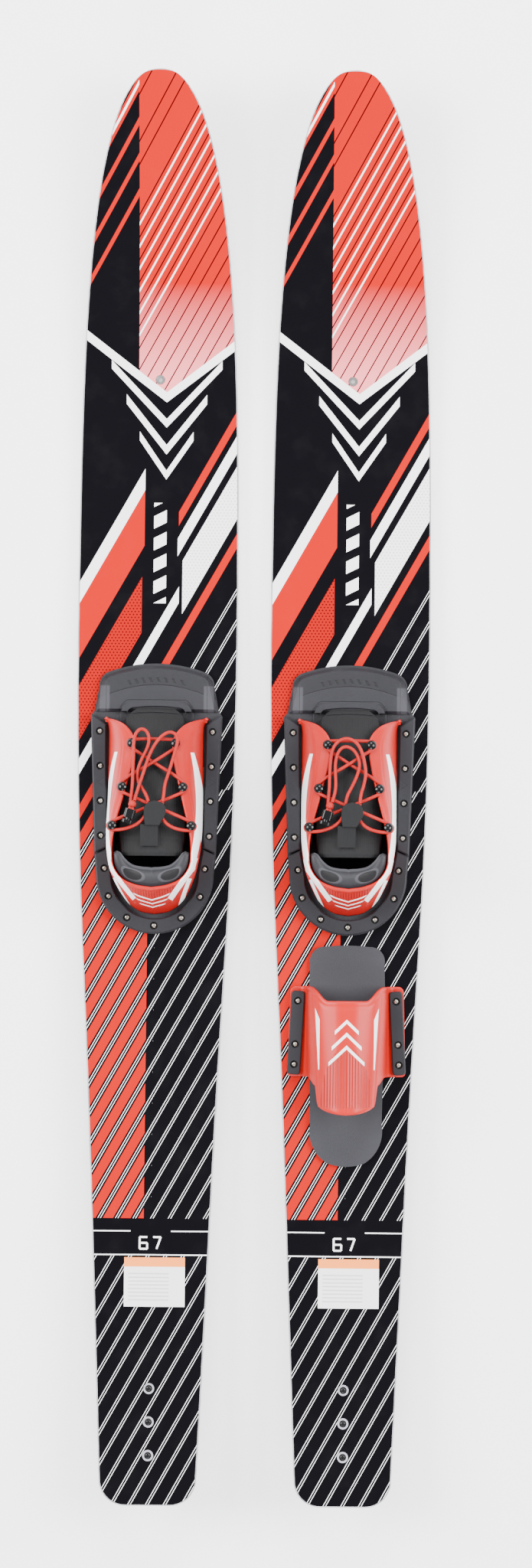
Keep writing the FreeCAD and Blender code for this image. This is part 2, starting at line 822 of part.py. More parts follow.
def make_plate(side):
    """The plate under the binding, with its toe bumper and toe stop, and the screws that hold it."""
    deck, thick = size("ski_thick"), size("plate_thick")
    base = pad(side + "_plate_base", plate_outline(), "sizes.plate_thick", deck)
    toe = pad(side + "_plate_toe", toe_outline(), "sizes.toe_rise", deck + thick, "sizes.toe_bevel")
    ridge_foot = deck + thick + size("toe_rise") - 1
    ridge = pad(side + "_plate_ridge", ridge_outline(), "sizes.ridge_rise + 1", ridge_foot)
    head, gap = size("plate_screw_head"), 2 * size("running_gap")
    sunk = 2.6
    holes = []
    for x, y in plate_spots():
        holes.append((size("plate_screw") + gap, 20, at(x, y, deck - 5)))
        holes.append((head + gap, 20, at(x, y, deck + thick - sunk)))
    for x, y in rail_spots(1) + rail_spots(-1) + heel_spots():
        holes.append((size("screw_shank") + gap, 20, at(x, y, deck + 0.4)))
    name = side + "_binding_plate"
    blank = fuse(side + "_plate_blank", base, toe, ridge)
    made = {name: cut(name, blank, drill(side + "_plate_holes", holes))}

    shank, reach = size("plate_screw"), 13.0
    screw = Part.makeCylinder(head / 2, sunk - 0.1)
    screw = screw.fuse(Part.makeCylinder(shank / 2, reach, Vector(0, 0, -reach)))
    for turn in (0, 90):
        arm = Part.makeBox(7, 1.4, 2, Vector(-3.5, -0.7, 1))
        arm.rotate(Vector(), Vector(0, 0, 1), turn)
        screw = screw.cut(arm)
    model = own(side + "_plate_screw_model", screw)
    seats = [at(x, y, deck + thick - sunk) for x, y in plate_spots()]
    made[side + "_plate_screws"] = copies(side + "_plate_screws", model, seats)
    long = size("insert_length")
    nut = Part.makeCylinder(size("insert_round") / 2, long - 0.1)
    nut = nut.cut(Part.makeCylinder(shank / 2 + gap / 4, long))
    model = own(side + "_insert_model", nut)
    feet = [at(x, y, deck - size("skin_thick") - long) for x, y in plate_spots()]
    made[side + "_plate_inserts"] = copies(side + "_plate_inserts", model, feet)
    return made


def make_footbed(side):
    """The soft bed that the foot stands on."""
    half, heel = size("footbed_half"), size("heel_centre")
    heel_round = 39.5
    right = [(heel_round, heel), (47.5, -76.0), (half, -46.0), (half, 62.0)]
    left = [(-x, y) for x, y in right]
    edges = line(*right) + arc(right[-1], (43, 78.5), (26, 86)) + line((26, 86), (-26, 86))
    edges += arc((-26, 86), (-43, 78.5), left[-1]) + line(*left[::-1])
    edges += arc(left[0], (0, heel - heel_round), right[0])
    level = size("ski_thick") + size("plate_thick")
    name = side + "_footbed"
    return {name: pad(name, edges, "sizes.footbed_thick", level, "sizes.rail_bevel")}


def screw_holes(name, spots, top):
    """Clearance holes with a round recess for each head, for clamps whose top is at some level."""
    gap = 2 * size("running_gap")
    holes = []
    for x, y in spots:
        holes.append((size("screw_shank") + gap, 40, at(x, y, top - 30)))
        holes.append((size("screw_recess"), 20, at(x, y, top - size("recess_depth"))))
    return drill(name, holes)


def make_clamps(side):
    """The two side rails and the heel frame, and the fifteen screws that clamp the upper under them."""
    low = size("ski_thick") + size("plate_thick") + size("flange_thick")
    top = low + size("rail_thick")
    outward = -1 if side == "left" else 1
    made = {}
    for sign in (1, -1):
        rim = [(77.5, 89), (59.5, 76.5), (57.5, -69.5), (71.5, -76), (77.5, 89)]
        name = f"{side}_{'outer' if sign == outward else 'inner'}_rail"
        plan = line(*[(sign * x, y) for x, y in rim])
        bar = pad(name + "_bar", plan, "sizes.rail_thick", low, "sizes.rail_bevel")
        made[name] = cut(name, bar, screw_holes(name + "_holes", rail_spots(sign), top))
    heel, outer, inner = size("heel_centre"), size("heel_outer"), size("heel_inner")
    right = [(outer, heel), (71.3, -78), (57.3, -71.5), (inner, heel)]
    left = [(-x, y) for x, y in right]
    edges = line(*right) + line(*left)
    edges += arc(right[0], (0, heel - outer), left[0]) + arc(right[-1], (0, heel - inner), left[-1])
    frame = pad(side + "_heel_bar", edges, "sizes.rail_thick", low, "sizes.rail_bevel")
    name = side + "_heel_frame"
    made[name] = cut(name, frame, screw_holes(name + "_holes", heel_spots(), top))
    model = make_screw(
        side + "_screw_model",
        size("screw_head"),
        size("screw_head_rise"),
        size("screw_shank"),
        size("screw_reach"),
        1.0,
    )
    spots = rail_spots(1) + rail_spots(-1) + heel_spots()
    seats = [at(x, y, top - size("recess_depth")) for x, y in spots]
    made[side + "_binding_screws"] = copies(side + "_binding_screws", model, seats)
    return made


# ---------------------------------------------------------------- the soft parts of the binding


def upper_point(place, share, sign=1):
    """A point on the outside of the upper: a station, counted with fractions, and a share of its wall."""
    first = min(int(place), len(UPPER_STATIONS) - 2)
    part = place - first
    rows = [
        a + (b - a) * part for a, b in zip(UPPER_STATIONS[first], UPPER_STATIONS[first + 1])
    ]
    foot_x, foot_y, edge_x, edge_y, edge_z, inward, upward = rows
    foot = Vector(foot_x, foot_y, size("ski_thick") + size("plate_thick") - FOOT_SPARE)
    edge = Vector(edge_x, edge_y, edge_z)
    shoulder = Vector(
        foot.x + (edge.x - foot.x) * inward,
        foot.y + (edge.y - foot.y) * inward,
        foot.z + (edge.z - foot.z) * upward,
    )
    point = foot * (1 - share) ** 2 + shoulder * (2 * share * (1 - share)) + edge * share**2
    outward = Vector(foot.x, min(foot.y + 60, 0), 0)
    if outward.Length > 0:
        outward.normalize()
    tall = min(1.0, (edge_z - foot.z) / 60)
    point += outward * size("upper_bulge") * tall * math.sin(math.pi * share)
    return Vector(sign * point.x, point.y, point.z)


def upper_grid(stations, shares):
    """Points on the outside of the upper, right front corner round the heel to the left one."""
    rows = [[upper_point(n, share) for share in shares] for n in stations]
    rows += [[upper_point(n, share, -1) for share in shares] for n in stations[-2::-1]]
    return rows


def sunk_grid(grid, depth, inside):
    """A grid moved square to its own surface, towards a point inside; its foot stays on its level."""
    surface = Part.BSplineSurface()
    surface.interpolate(grid)
    centre = grid[len(grid) // 2][len(grid[0]) // 2]
    facing = surface.normal(*surface.parameter(centre)).dot(inside - centre)
    moved = []
    for row in grid:
        line_points = []
        for n, point in enumerate(row):
            inward = surface.normal(*surface.parameter(point)) * math.copysign(1, facing)
            if n in (0, len(row) - 1) and abs(inward.z) < 0.5:
                inward = Vector(inward.x, inward.y, 0)
                inward.normalize()
            line_points.append(point + inward * depth)
        moved.append(line_points)
    return moved


def flange_outline():
    """The upper's flat rim, clamped all round under the rails and the heel frame."""
    heel = size("heel_centre")
    right = [(68, heel), (70.6, -77), (76.4, 88), (64.5, 84.8), (57.2, 77.5), (55, 66)]
    right += [(54.8, 0), (54, -52), (51.5, -78), (45, heel)]
    left = [(-x, y) for x, y in right]
    edges = line(*right) + line(*left)
    edges += arc(right[0], (0, heel - 68), left[0]) + arc(right[-1], (0, heel - 45), left[-1])
    return edges


def hook_places():
    """Placements of the lace hooks, standing square on the upper, and the lace's level above it."""
    grid = upper_grid(range(len(UPPER_STATIONS)), [n / (UPPER_ROWS - 1) for n in range(UPPER_ROWS)])
    surface = Part.BSplineSurface()
    surface.interpolate(grid)
    places = []
    for station, share in HOOK_SPOTS:
        for sign in (1, -1):
            point = upper_point(station, share, sign)
            uv = surface.parameter(point)
            spot, normal = surface.value(*uv), surface.normal(*uv)
            if normal.z < 0:
                normal = normal * -1
            lean = Vector(0, 0, 1) * 0.5 + normal * 0.5
            places.append(Placement(spot, Rotation(Vector(0, 0, 1), lean)))
    return places


def make_hooks(side):
    """Six hooks: a foot on the upper, a round post that the lace bears on, and a domed cap."""
    post, cap, rise = size("hook_post"), size("hook_cap"), size("hook_rise")
    thick = size("hook_cap_thick")
    dome_radius = (cap * cap / 4 + thick * thick) / (2 * thick)
    dome = Part.makeSphere(dome_radius, Vector(0, 0, rise + thick - dome_radius))
    body = Part.makeCylinder(cap / 2, thick, Vector(0, 0, rise)).common(dome)
    body = body.fuse(Part.makeCylinder(post / 2, rise + 3.4, Vector(0, 0, -2.4)))
    body = body.fuse(Part.makeCylinder(cap / 2 - 0.8, 1.3, Vector(0, 0, -0.6)))
    model = own(side + "_hook_model", body.removeSplitter())
    name = side + "_lace_hooks"
    return {name: copies(name, model, hook_places())}, copies(side + "_hook_tool", model, hook_places())


def make_upper(side, hooks):
    """The soft upper: one wall from wing to wing round the heel, with its clamped rim."""
    stations = list(range(len(UPPER_STATIONS)))
    grid = upper_grid(stations, [n / (UPPER_ROWS - 1) for n in range(UPPER_ROWS)])
    shell = wall(side + "_upper_wall", grid, sunk_grid(grid, size("upper_thick"), INSIDE))
    level = size("ski_thick") + size("plate_thick")
    rim = pad(side + "_upper_rim", flange_outline(), "sizes.flange_thick", level)
    gap = 2 * size("running_gap")
    spots = rail_spots(1) + rail_spots(-1) + heel_spots()
    holes = drill(side + "_upper_holes", [(size("screw_shank") + gap, 40, at(x, y, 10)) for x, y in spots])
    under = block(side + "_upper_trim", "200", "360", "30", at(z=level - 30))
    blank = cut(side + "_upper_trimmed", fuse(side + "_upper_blank", shell, rim), under)
    name = side + "_upper"
    return {name: cut(name, cut(side + "_upper_drilled", blank, holes), hooks)}


def tongue_grid():
    """Points on the top of the tongue, from its front edge back to the ankle."""
    rows = []
    for along, high, half in TONGUE_STATIONS:
        spots = [half * n / 4 for n in range(-4, 5)]
        rows.append([Vector(x, along, high - TONGUE_DROP * x * x) for x in spots])
    return rows


def make_lining(side):
    """The tongue over the instep and the pad behind the heel."""
    grid = tongue_grid()
    name = side + "_tongue"
    made = {name: wall(name, grid, sunk_grid(grid, size("tongue_thick"), INSIDE))}
    shares = [0.1 + 0.8 * n / 6 for n in range(7)]
    outer = upper_grid([8, 9, 10, 11, 12], shares)
    against = sunk_grid(outer, size("upper_thick") + size("heel_pad_gap"), INSIDE)
    depth = [6, 14, 22, 27, 29, 27, 22, 14, 6]
    inner = []
    for deep, row in zip(depth, against):
        pulled = []
        for point in row:
            inward = Vector(-point.x, -60 - point.y, 0)
            inward.normalize()
            pulled.append(point + inward * deep)
        inner.append(pulled)
    name = side + "_heel_pad"
    made[name] = wall(name, against, inner)
    return made


# ---------------------------------------------------------------- lace, lock and tab


def tube(points, diameter):
    """A round cord along straight runs joined by arcs, each as large as its two runs allow."""
    spots = [Vector(*point) for point in points]
    edges, start, radii = [], spots[0], []
    for before, corner, after in zip(spots, spots[1:], spots[2:]):
        back, ahead = (before - corner), (after - corner)
        shorter = min(back.Length, ahead.Length)
        back.normalize()
        ahead.normalize()
        half_turn = (math.pi - back.getAngle(ahead)) / 2
        reach = 0.45 * shorter
        radius = reach / math.tan(half_turn)
        radii.append(radius)
        inward = (back + ahead).normalize()
        middle = corner + inward * (radius / math.cos(half_turn) - radius)
        first, last = corner + back * reach, corner + ahead * reach
        edges.append(Part.LineSegment(start, first).toShape())
        edges.append(Part.Arc(first, middle, last).toShape())
        start = last
    edges.append(Part.LineSegment(start, spots[-1]).toShape())
    path = Part.Wire(edges)
    section = Part.Wire(Part.makeCircle(diameter / 2, spots[0], spots[1] - spots[0]))
    solid = path.makePipeShell([section], True, True)
    ideal = path.Length * math.pi * diameter**2 / 4
    print(
        f"cord of {path.Length:.0f} mm, radii {min(radii):.1f} to {max(radii):.0f} mm,"
        f" volume over section times length {solid.Volume / ideal:.3f}"
    )
    return solid


def make_lace(side):
    """The lace: where the hooks hold it, its two loose ends, and the knot that joins them."""
    thick = size("lace_round")
    made = {side + "_lace": own(side + "_lace", tube(LACE_RUN, thick))}
    ends = [tube(points, thick) for points in LOOSE_ENDS[side]]
    name = side + "_lace_ends"
    made[name] = own(name, Part.makeCompound(ends))
    ball = Part.makeSphere(size("knot_round") / 2, KNOT_MIDDLE)
    for spot in lock_holes():
        way = spot - KNOT_MIDDLE
        inside = lock_place().Rotation.multVec(Vector(0, -(size("lock_hole_depth") - 0.4), 0))
        tail = Part.makeCylinder(thick / 2, (way + inside).Length, KNOT_MIDDLE, way + inside)
        ball = ball.fuse(tail)
    name = side + "_lace_knot"
    made[name] = own(name, ball.cut(ends[0].fuse(ends[1])))
    return made


def lock_place():
    """The lock's frame: its mouth faces forward along its own Y, and its button looks back."""
    return Placement(LOCK_MOUTH, Rotation(Vector(0, 0, 1), LOCK_TURN))


def lock_holes():
    """Where the two strands enter the lock."""
    return [lock_place().multVec(Vector(x, 0, 0)) for x in (2.5, -2.5)]


def make_lock(side):
    """The barrel lock: a body that the strands enter, a spring and a button that is pressed in."""
    wide, tall, long = size("lock_width"), size("lock_height"), size("lock_length")
    place = lock_place()
    shell = Part.makeBox(wide, long, tall, Vector(-wide / 2, -long, -tall / 2))
    lengthwise = [e for e in shell.Edges if e.BoundBox.YLength > long - 0.1]
    shell = shell.makeFillet(3.2, lengthwise)
    bore, deep = size("lock_bore"), size("lock_bore_depth")
    shell = shell.cut(Part.makeCylinder(bore / 2, deep, Vector(0, -long, 0), Vector(0, 1, 0)))
    entry = size("lock_hole_depth")
    for x in (2.5, -2.5):
        hole = Part.makeCylinder(size("lace_round") / 2 + 0.25, entry, Vector(x, -entry, 0), Vector(0, 1, 0))
        shell = shell.cut(hole)
    travel, cap = size("lock_travel"), size("lock_cap_thick")
    rest_gap = travel + 0.4
    button = Part.makeBox(wide, cap, tall, Vector(-wide / 2, -long - rest_gap - cap, -tall / 2))
    lengthwise = [e for e in button.Edges if e.BoundBox.YLength > cap - 0.1]
    button = button.makeFillet(3.2, lengthwise)
    stem = deep - travel - 1.2 + rest_gap
    plunger = Part.makeCylinder(bore / 2 - 0.15, stem, Vector(0, -long - rest_gap, 0), Vector(0, 1, 0))
    hollow = Part.makeCylinder(bore / 2 - 1.1, stem - 1, Vector(0, -long - rest_gap + 1, 0), Vector(0, 1, 0))
    button = button.fuse(plunger).cut(hollow).removeSplitter()
    wire = size("spring_wire")
    coil_radius = bore / 2 - 1.1 - 0.3 - wire / 2
    spring_start = -long - rest_gap + 1 + wire / 2 + 0.1
    spring_end = -long + deep - wire / 2 - 0.1
    turns = 4
    helix = Part.makeHelix((spring_end - spring_start) / turns, spring_end - spring_start, coil_radius)
    section = Part.Wire(Part.makeCircle(wire / 2, Vector(coil_radius, 0, 0), Vector(0, 1, 0)))
    spring = Part.Wire(helix).makePipeShell([section], True, True)
    spring.rotate(Vector(), Vector(1, 0, 0), -90)
    spring.translate(Vector(0, spring_start, 0))
    made = {}
    for part, solid in (("lock_body", shell), ("lock_button", button), ("lock_spring", spring)):
        name = f"{side}_{part}"
        made[name] = own(name, solid)
        made[name].Placement = place.multiply(solid.Placement)
    return made


def make_tab(side):
    """The pull tab over the crossed lace, and the strap that joins it to the tongue."""
    level = size("tab_level")
    rim = [(3.6, -15.8), (12.8, -18.4), (16.4, -23.5), (16.6, -32.0), (9.4, -45.0), (-7.5, -45.0)]
    rim += [(-9.2, -33.5), (-8.8, -23.5), (-4.5, -18.2), (3.6, -15.8)]
    name = side + "_tab"
    made = {name: pad(name, line(*rim), "sizes.tab_thick", level, "sizes.running_gap * 6")}
    wide, thick = size("tab_strap_width"), size("tab_strap_thick")
    front, back = Vector(-2.5, -43.5, level - 0.1 - thick), Vector(-2.5, -68.5, 105.0)
    way = back - front
    strap = Part.makeBox(wide, way.Length, thick, Vector(-wide / 2, 0, 0))
    lean = math.degrees(math.atan2(-way.z, -way.y))
    name = side + "_tab_strap"
    made[name] = own(name, strap)
    made[name].Placement = Placement(back, Rotation(Vector(1, 0, 0), lean))
    return made


# ---------------------------------------------------------------- the rear toe strap


def rear_pad_outline():
    """The rear pad's outline: nearly straight sides that close towards the tail, bowed ends."""
    front, half = size("rear_pad_front"), size("rear_pad_half")
    back = front - size("rear_pad_length")
    right = [
        (26, front - 1.5), (half - 1.0, front - 22), (half, front - 60), (42.5, back + 50), (22, back + 4),
    ]
    left = [(-x, y) for x, y in right]
    edges = arc(left[0], (0, front), right[0])
    edges += arc(right[0], (40.0, front - 7.0), right[1]) + line(*right[1:4])
    edges += arc(right[3], (37.5, back + 20), right[4]) + arc(right[4], (0, back), left[4])
    edges += arc(left[4], (-37.5, back + 20), left[3]) + line(*left[3:0:-1])
    edges += arc(left[1], (-40.0, front - 7.0), left[0])
    return edges


def rear_strap_plan():
    """The rear strap seen from above: square wings, a dipped front edge and a round lip behind."""
    right = [(66, -232), (72, -238), (72, -335), (66, -341.5), (46, -342), (39, -349), (36, -366)]
    left = [(-x, y) for x, y in right]
    edges = arc(right[0], (70.2, -233.8), right[1]) + line(right[1], right[2])
    edges += arc(right[2], (70.2, -339.6), right[3]) + line(right[3], right[4])
    edges += arc(right[4], (41, -344), right[5]) + line(right[5], right[6])
    edges += arc(right[6], (0, -382), left[6])
    edges += line(left[6], left[5]) + arc(left[5], (-41, -344), left[4]) + line(left[4], left[3])
    edges += arc(left[3], (-70.2, -339.6), left[2]) + line(left[2], left[1])
    edges += arc(left[1], (-70.2, -233.8), left[0]) + line(left[0], (-52, -232))
    edges += arc((-52, -232), (-42, -236.5), (-32, -243.5)) + arc((-32, -243.5), (0, -248), (32, -243.5))
    edges += arc((32, -243.5), (42, -236.5), (52, -232)) + line((52, -232), right[0])
    return edges


def make_rear_strap():
    """The rear toe strap on the right ski: pad, strap, two clamp bars and their screws."""
    side, deck = "right", size("ski_thick")
    made = {"right_rear_pad": pad("right_rear_pad", rear_pad_outline(), "sizes.rear_pad_thick", deck)}
    rows = []
    front, back, count = -225.0, -388.0, 6
    for n in range(count):
        share = n / (count - 1)
        half = [
            (a[0] + (b[0] - a[0]) * share, a[1] + (b[1] - a[1]) * share)
            for a, b in zip(REAR_SECTION_FRONT, REAR_SECTION_BACK)
        ]
        along = front + (back - front) * share
        row = [Vector(x, along, deck + z) for x, z in half]
        row += [Vector(-x, along, deck + z) for x, z in half[-2::-1]]
        rows.append(row)
    inside = Vector(0, (front + back) / 2, deck)
    arch = wall("rear_arch", rows, sunk_grid(rows, size("rear_strap_thick"), inside))
    plan = pad("rear_strap_plan", rear_strap_plan(), "120", deck)
    inner, thick = size("rear_wing_inner"), size("rear_strap_thick")
    wings = own("rear_wing_slab", Part.makeBox(200, 115, thick, Vector(-100, -345, deck)))
    gap_block = Part.makeBox(2 * inner, 200, 3 * thick, Vector(-inner, -390, deck - thick))
    between = own("rear_wing_gap", gap_block)
    wings = cut("rear_wings", common("rear_wing_cut", wings, plan), between)
    arch = common("rear_arch_cut", arch, plan)
    blank = fuse("rear_strap_blank", arch, wings)
    gap = 2 * size("running_gap")
    through = [(size("screw_shank") + gap, 40, at(x, y, deck - 10)) for x, y in clamp_spots()]
    holes = drill("rear_strap_holes", through)
    name = "right_rear_strap"
    made[name] = cut(name, blank, holes)

    wide, long, tall = size("clamp_width"), size("clamp_length"), size("clamp_thick")
    bars = []
    for sign in (1, -1):
        bar = Part.makeBox(wide, long, tall, Vector(-wide / 2, -long / 2, 0))
        bar = bar.makeFillet(4.0, [e for e in bar.Edges if e.BoundBox.ZLength > tall - 0.1])
        bar = bar.makeChamfer(1.2, [e for e in bar.Edges if e.BoundBox.ZMin > tall - 0.1])
        bar.Placement = clamp_place(sign)
        bars.append(bar)
    top = deck + size("rear_strap_thick") + tall
    name = "right_rear_clamps"
    plain = own("rear_clamp_bars", Part.makeCompound(bars))
    made[name] = cut(name, plain, screw_holes("rear_clamp_holes", clamp_spots(), top))
    reach = top - size("recess_depth") - deck + 9
    model = make_screw(
        "rear_screw_model", size("screw_head"), size("screw_head_rise"), size("screw_shank"), reach, 1.0
    )
    seats = [at(x, y, top - size("recess_depth")) for x, y in clamp_spots()]
    made["right_rear_screws"] = copies("right_rear_screws", model, seats)
    return made


# ---------------------------------------------------------------- both skis at rest


def make_ski(side):
    """All the sub-parts of one ski, in its own frame."""
    made = make_board(side, rear=side == "right")
    made.update(make_grommet(side))
    made.update(make_fin(side))
    made.update(make_plate(side))
    made.update(make_footbed(side))
    made.update(make_clamps(side))
    hooks, hook_tool = make_hooks(side)
    made.update(hooks)
    made.update(make_upper(side, hook_tool))
    made.update(make_lining(side))
    made.update(make_lace(side))
    made.update(make_lock(side))
    made.update(make_tab(side))
    if side == "right":
        made.update(make_rear_strap())
    return made


def resting_turn(fin):
    """How far a ski noses down, in degrees, when its fin and its forebody both touch the floor."""
    corners = [vertex.Point for vertex in fin.Shape.Vertexes]
    base = [Vector(0, y, base_height(y)) for y in range(0, int(size("ski_length") / 2), 2)]
    low, high = 0.0, 8.0
    for _ in range(40):
        middle = (low + high) / 2
        turn = Rotation(Vector(1, 0, 0), -middle)
        fin_low = min(turn.multVec(point).z for point in corners)
        base_low = min(turn.multVec(point).z for point in base)
        low, high = (middle, high) if fin_low < base_low else (low, middle)
    turn = Rotation(Vector(1, 0, 0), -low)
    return low, min(turn.multVec(point).z for point in base)


def main():
    """Builds both skis, sets them at rest side by side, checks them and writes their solids."""
    made = {side: make_ski(side) for side in ("left", "right")}
    doc.recompute()
    turn, lowest = resting_turn(made["left"]["left_fin"])
    rotation = Rotation(Vector(1, 0, 0), -turn)
    long = [rotation.multVec(Vector(0, y, base_height(y) + rise)).y for y, rise in (
        (size("ski_length") / 2, board_thickness(size("ski_length") / 2)),
        (-size("ski_length") / 2, 0),
    )]
    middle = (long[0] + long[1]) / 2
    print(f"nose down {turn:.3f} degrees, raised {-lowest:.2f} mm, shifted {-middle:.2f} mm")
    nodes = {}
    for side, sign in (("left", -1), ("right", 1)):
        spot = Vector(sign * size("ski_spacing") / 2, -middle, -lowest)
        for name, thing in made[side].items():
            thing.Label = name
            thing.Placement = Placement(spot, rotation).multiply(thing.Placement)
            nodes[name] = thing
    doc.recompute()
    for thing in doc.Objects:
        if {"Invalid", "Error"} & set(thing.State):
            raise RuntimeError(f"{thing.Label} is {thing.State}")
    os.makedirs("parts", exist_ok=True)
    for name, thing in nodes.items():
        shape = thing.Shape
        if shape.isNull() or not shape.isValid() or not shape.Solids:
            raise RuntimeError(f"{name} has no sound shape")
        shape.exportStep(f"parts/{name}.step")
    print(len(nodes), "sub-parts written")


main()
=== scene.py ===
import json
import math

import bmesh
import bpy
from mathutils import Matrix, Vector

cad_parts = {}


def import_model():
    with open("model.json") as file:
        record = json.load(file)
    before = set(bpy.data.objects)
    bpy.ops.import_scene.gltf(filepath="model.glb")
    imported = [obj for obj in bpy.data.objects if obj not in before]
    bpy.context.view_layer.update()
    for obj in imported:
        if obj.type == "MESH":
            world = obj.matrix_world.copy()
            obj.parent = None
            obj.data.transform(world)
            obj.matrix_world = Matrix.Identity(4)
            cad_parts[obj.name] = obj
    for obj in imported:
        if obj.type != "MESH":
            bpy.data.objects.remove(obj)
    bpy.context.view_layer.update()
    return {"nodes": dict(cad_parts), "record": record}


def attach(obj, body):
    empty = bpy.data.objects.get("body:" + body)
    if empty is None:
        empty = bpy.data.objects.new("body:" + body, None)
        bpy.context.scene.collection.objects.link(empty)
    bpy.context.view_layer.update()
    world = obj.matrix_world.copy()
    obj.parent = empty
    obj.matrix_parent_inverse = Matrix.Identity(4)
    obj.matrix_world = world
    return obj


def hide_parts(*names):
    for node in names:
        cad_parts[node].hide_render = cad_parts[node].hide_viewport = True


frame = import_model()

# ------------------------------------------------------------------ places

SIDES = {"left": -115.0, "right": 115.0}
NOSE_DOWN = math.radians(2.060)
SHIFT, RAISE = -2.30, 10.73
MM = 0.001


def world(side, point):
    """A place on one ski, in millimetres from its middle and its base, as metres in the room."""
    x, y, z = point
    c, s = math.cos(NOSE_DOWN), math.sin(NOSE_DOWN)
    return Vector(((x + SIDES[side]) * MM, (y * c + z * s + SHIFT) * MM, (z * c - y * s + RAISE) * MM))


# ------------------------------------------------------------------ camera

camera = bpy.data.objects.new("camera", bpy.data.cameras.new("camera"))
bpy.context.collection.objects.link(camera)
CAMERA_HEIGHT = 4.00
DECK_LEVEL = 0.029
VIEW_TALL = 1.868
CAMERA_X, CAMERA_Y, AIM_X = 0.102, 0.0070, 0.016
CAMERA_ROLL = math.radians(0.57)
camera.data.sensor_fit = "VERTICAL"
camera.data.sensor_height = 36.0
camera.data.lens = 36.0 * (CAMERA_HEIGHT - DECK_LEVEL) / VIEW_TALL
camera.data.shift_x = (AIM_X - CAMERA_X) / VIEW_TALL
camera.location = (CAMERA_X, CAMERA_Y, CAMERA_HEIGHT)
camera.rotation_euler = (0, 0, CAMERA_ROLL)
bpy.context.scene.camera = camera

# ------------------------------------------------------------------ cords

LACE = 4.0
LACE_RUN = [
    (12.7, -17.0, 107.0), (10.5, -27.0, 106.8), (12.5, -38.0, 107.0), (22.0, -46.5, 108.3),
    (36.0, -50.5, 109.4), (48.1, -50.5, 107.5), (51.2, -47.2, 106.2), (50.9, -42.8, 105.7),
    (40.0, -37.5, 107.0), (0.0, -21.0, 103.6), (-31.0, -8.0, 99.0), (-40.3, -3.0, 95.9),
    (-40.7, 2.6, 94.9), (-28.0, 13.0, 94.0), (0.0, 29.5, 90.0), (22.0, 44.0, 85.8),
    (30.7, 49.7, 83.1), (30.8, 54.0, 82.3), (27.8, 57.1, 82.2), (-27.8, 57.1, 82.2),
    (-30.8, 54.0, 82.3), (-30.7, 49.7, 83.1), (-22.0, 44.0, 85.8), (0.0, 29.5, 85.6),
    (28.0, 13.0, 94.0), (40.7, 2.6, 94.9), (40.3, -3.0, 95.9), (31.0, -8.0, 99.0),
    (0.0, -21.0, 99.2), (-40.0, -37.5, 107.0), (-50.9, -42.8, 105.7), (-51.2, -47.2, 106.2),
    (-48.1, -50.5, 107.5), (-36.0, -50.5, 109.4), (-22.0, -46.5, 108.3), (-10.5, -39.0, 107.2),
    (-5.0, -28.0, 107.0), (-4.0, -17.0, 107.0),
]
LOOSE_ENDS = {
    "left": [
        [(-4.0, -17.0, 107.0), (-6.5, -9.0, 104.5), (-12.5, -1.0, 99.5), (-17.5, 7.5, 95.6),
         (-18.0, 19.0, 94.6), (-13.5, 32.0, 93.0), (-7.0, 45.0, 90.0), (-4.5, 56.0, 88.5),
         (-7.0, 65.5, 86.5), (-14.0, 69.5, 86.0), (-20.5, 64.5, 88.0), (-23.0, 53.0, 91.0),
         (-22.3, 38.0, 93.5), (-23.0, 20.0, 97.2), (-23.0, 4.0, 99.5), (-24.0, -9.0, 103.5),
         (-24.5, -18.0, 108.0)],
        [(12.7, -17.0, 107.0), (14.0, -8.0, 105.0), (14.5, 3.0, 100.0), (18.5, 16.0, 97.5),
         (22.5, 30.0, 94.0), (26.0, 43.5, 92.0), (29.0, 55.0, 91.0), (26.0, 63.5, 89.0),
         (18.0, 65.5, 88.0), (9.0, 60.0, 88.0), (1.5, 50.0, 90.0), (-4.0, 38.0, 94.6),
         (-8.5, 24.0, 98.0), (-12.5, 10.0, 101.0), (-17.0, -4.0, 104.5), (-20.0, -16.5, 109.0)],
    ],
    "right": [
        [(-4.0, -17.0, 107.0), (-3.0, -9.0, 105.5), (3.0, 2.0, 101.0), (9.0, 15.0, 96.0),
         (12.5, 28.0, 94.6), (9.5, 40.0, 91.5), (3.0, 48.0, 90.5), (-6.0, 50.5, 90.0),
         (-13.0, 45.0, 91.0), (-16.5, 33.0, 93.0), (-16.5, 19.0, 97.0), (-15.5, 6.0, 99.5),
         (-16.5, -6.0, 103.5), (-20.0, -16.5, 109.0)],
        [(12.7, -17.0, 107.0), (13.0, -8.0, 105.0), (17.0, 4.0, 101.0), (19.5, 18.0, 97.5),
         (17.5, 32.0, 94.5), (14.0, 45.0, 95.0), (8.0, 55.0, 93.0), (-2.0, 60.0, 91.5),
         (-12.0, 57.5, 92.0), (-19.5, 49.0, 92.0), (-22.0, 36.0, 93.5), (-23.0, 20.0, 97.0),
         (-23.0, 4.0, 99.5), (-24.0, -9.0, 103.5), (-24.5, -18.0, 108.0)],
    ],
}


def curve_object(name, side, routes, thick):
    """A round cord along one or more routes, each a smooth spline."""
    curve = bpy.data.curves.new(name, "CURVE")
    curve.dimensions = "3D"
    curve.bevel_depth = thick / 2 * MM
    curve.bevel_resolution = 5
    curve.use_fill_caps = True
    for points in routes:
        spline = curve.splines.new("NURBS")
        spline.points.add(len(points) - 1)
        for spot, point in zip(spline.points, points):
            spot.co = (*world(side, point), 1.0)
        spline.order_u = 3
        spline.use_endpoint_u = True
        spline.resolution_u = 10
    made = bpy.data.objects.new(name, curve)
    bpy.context.collection.objects.link(made)
    return made


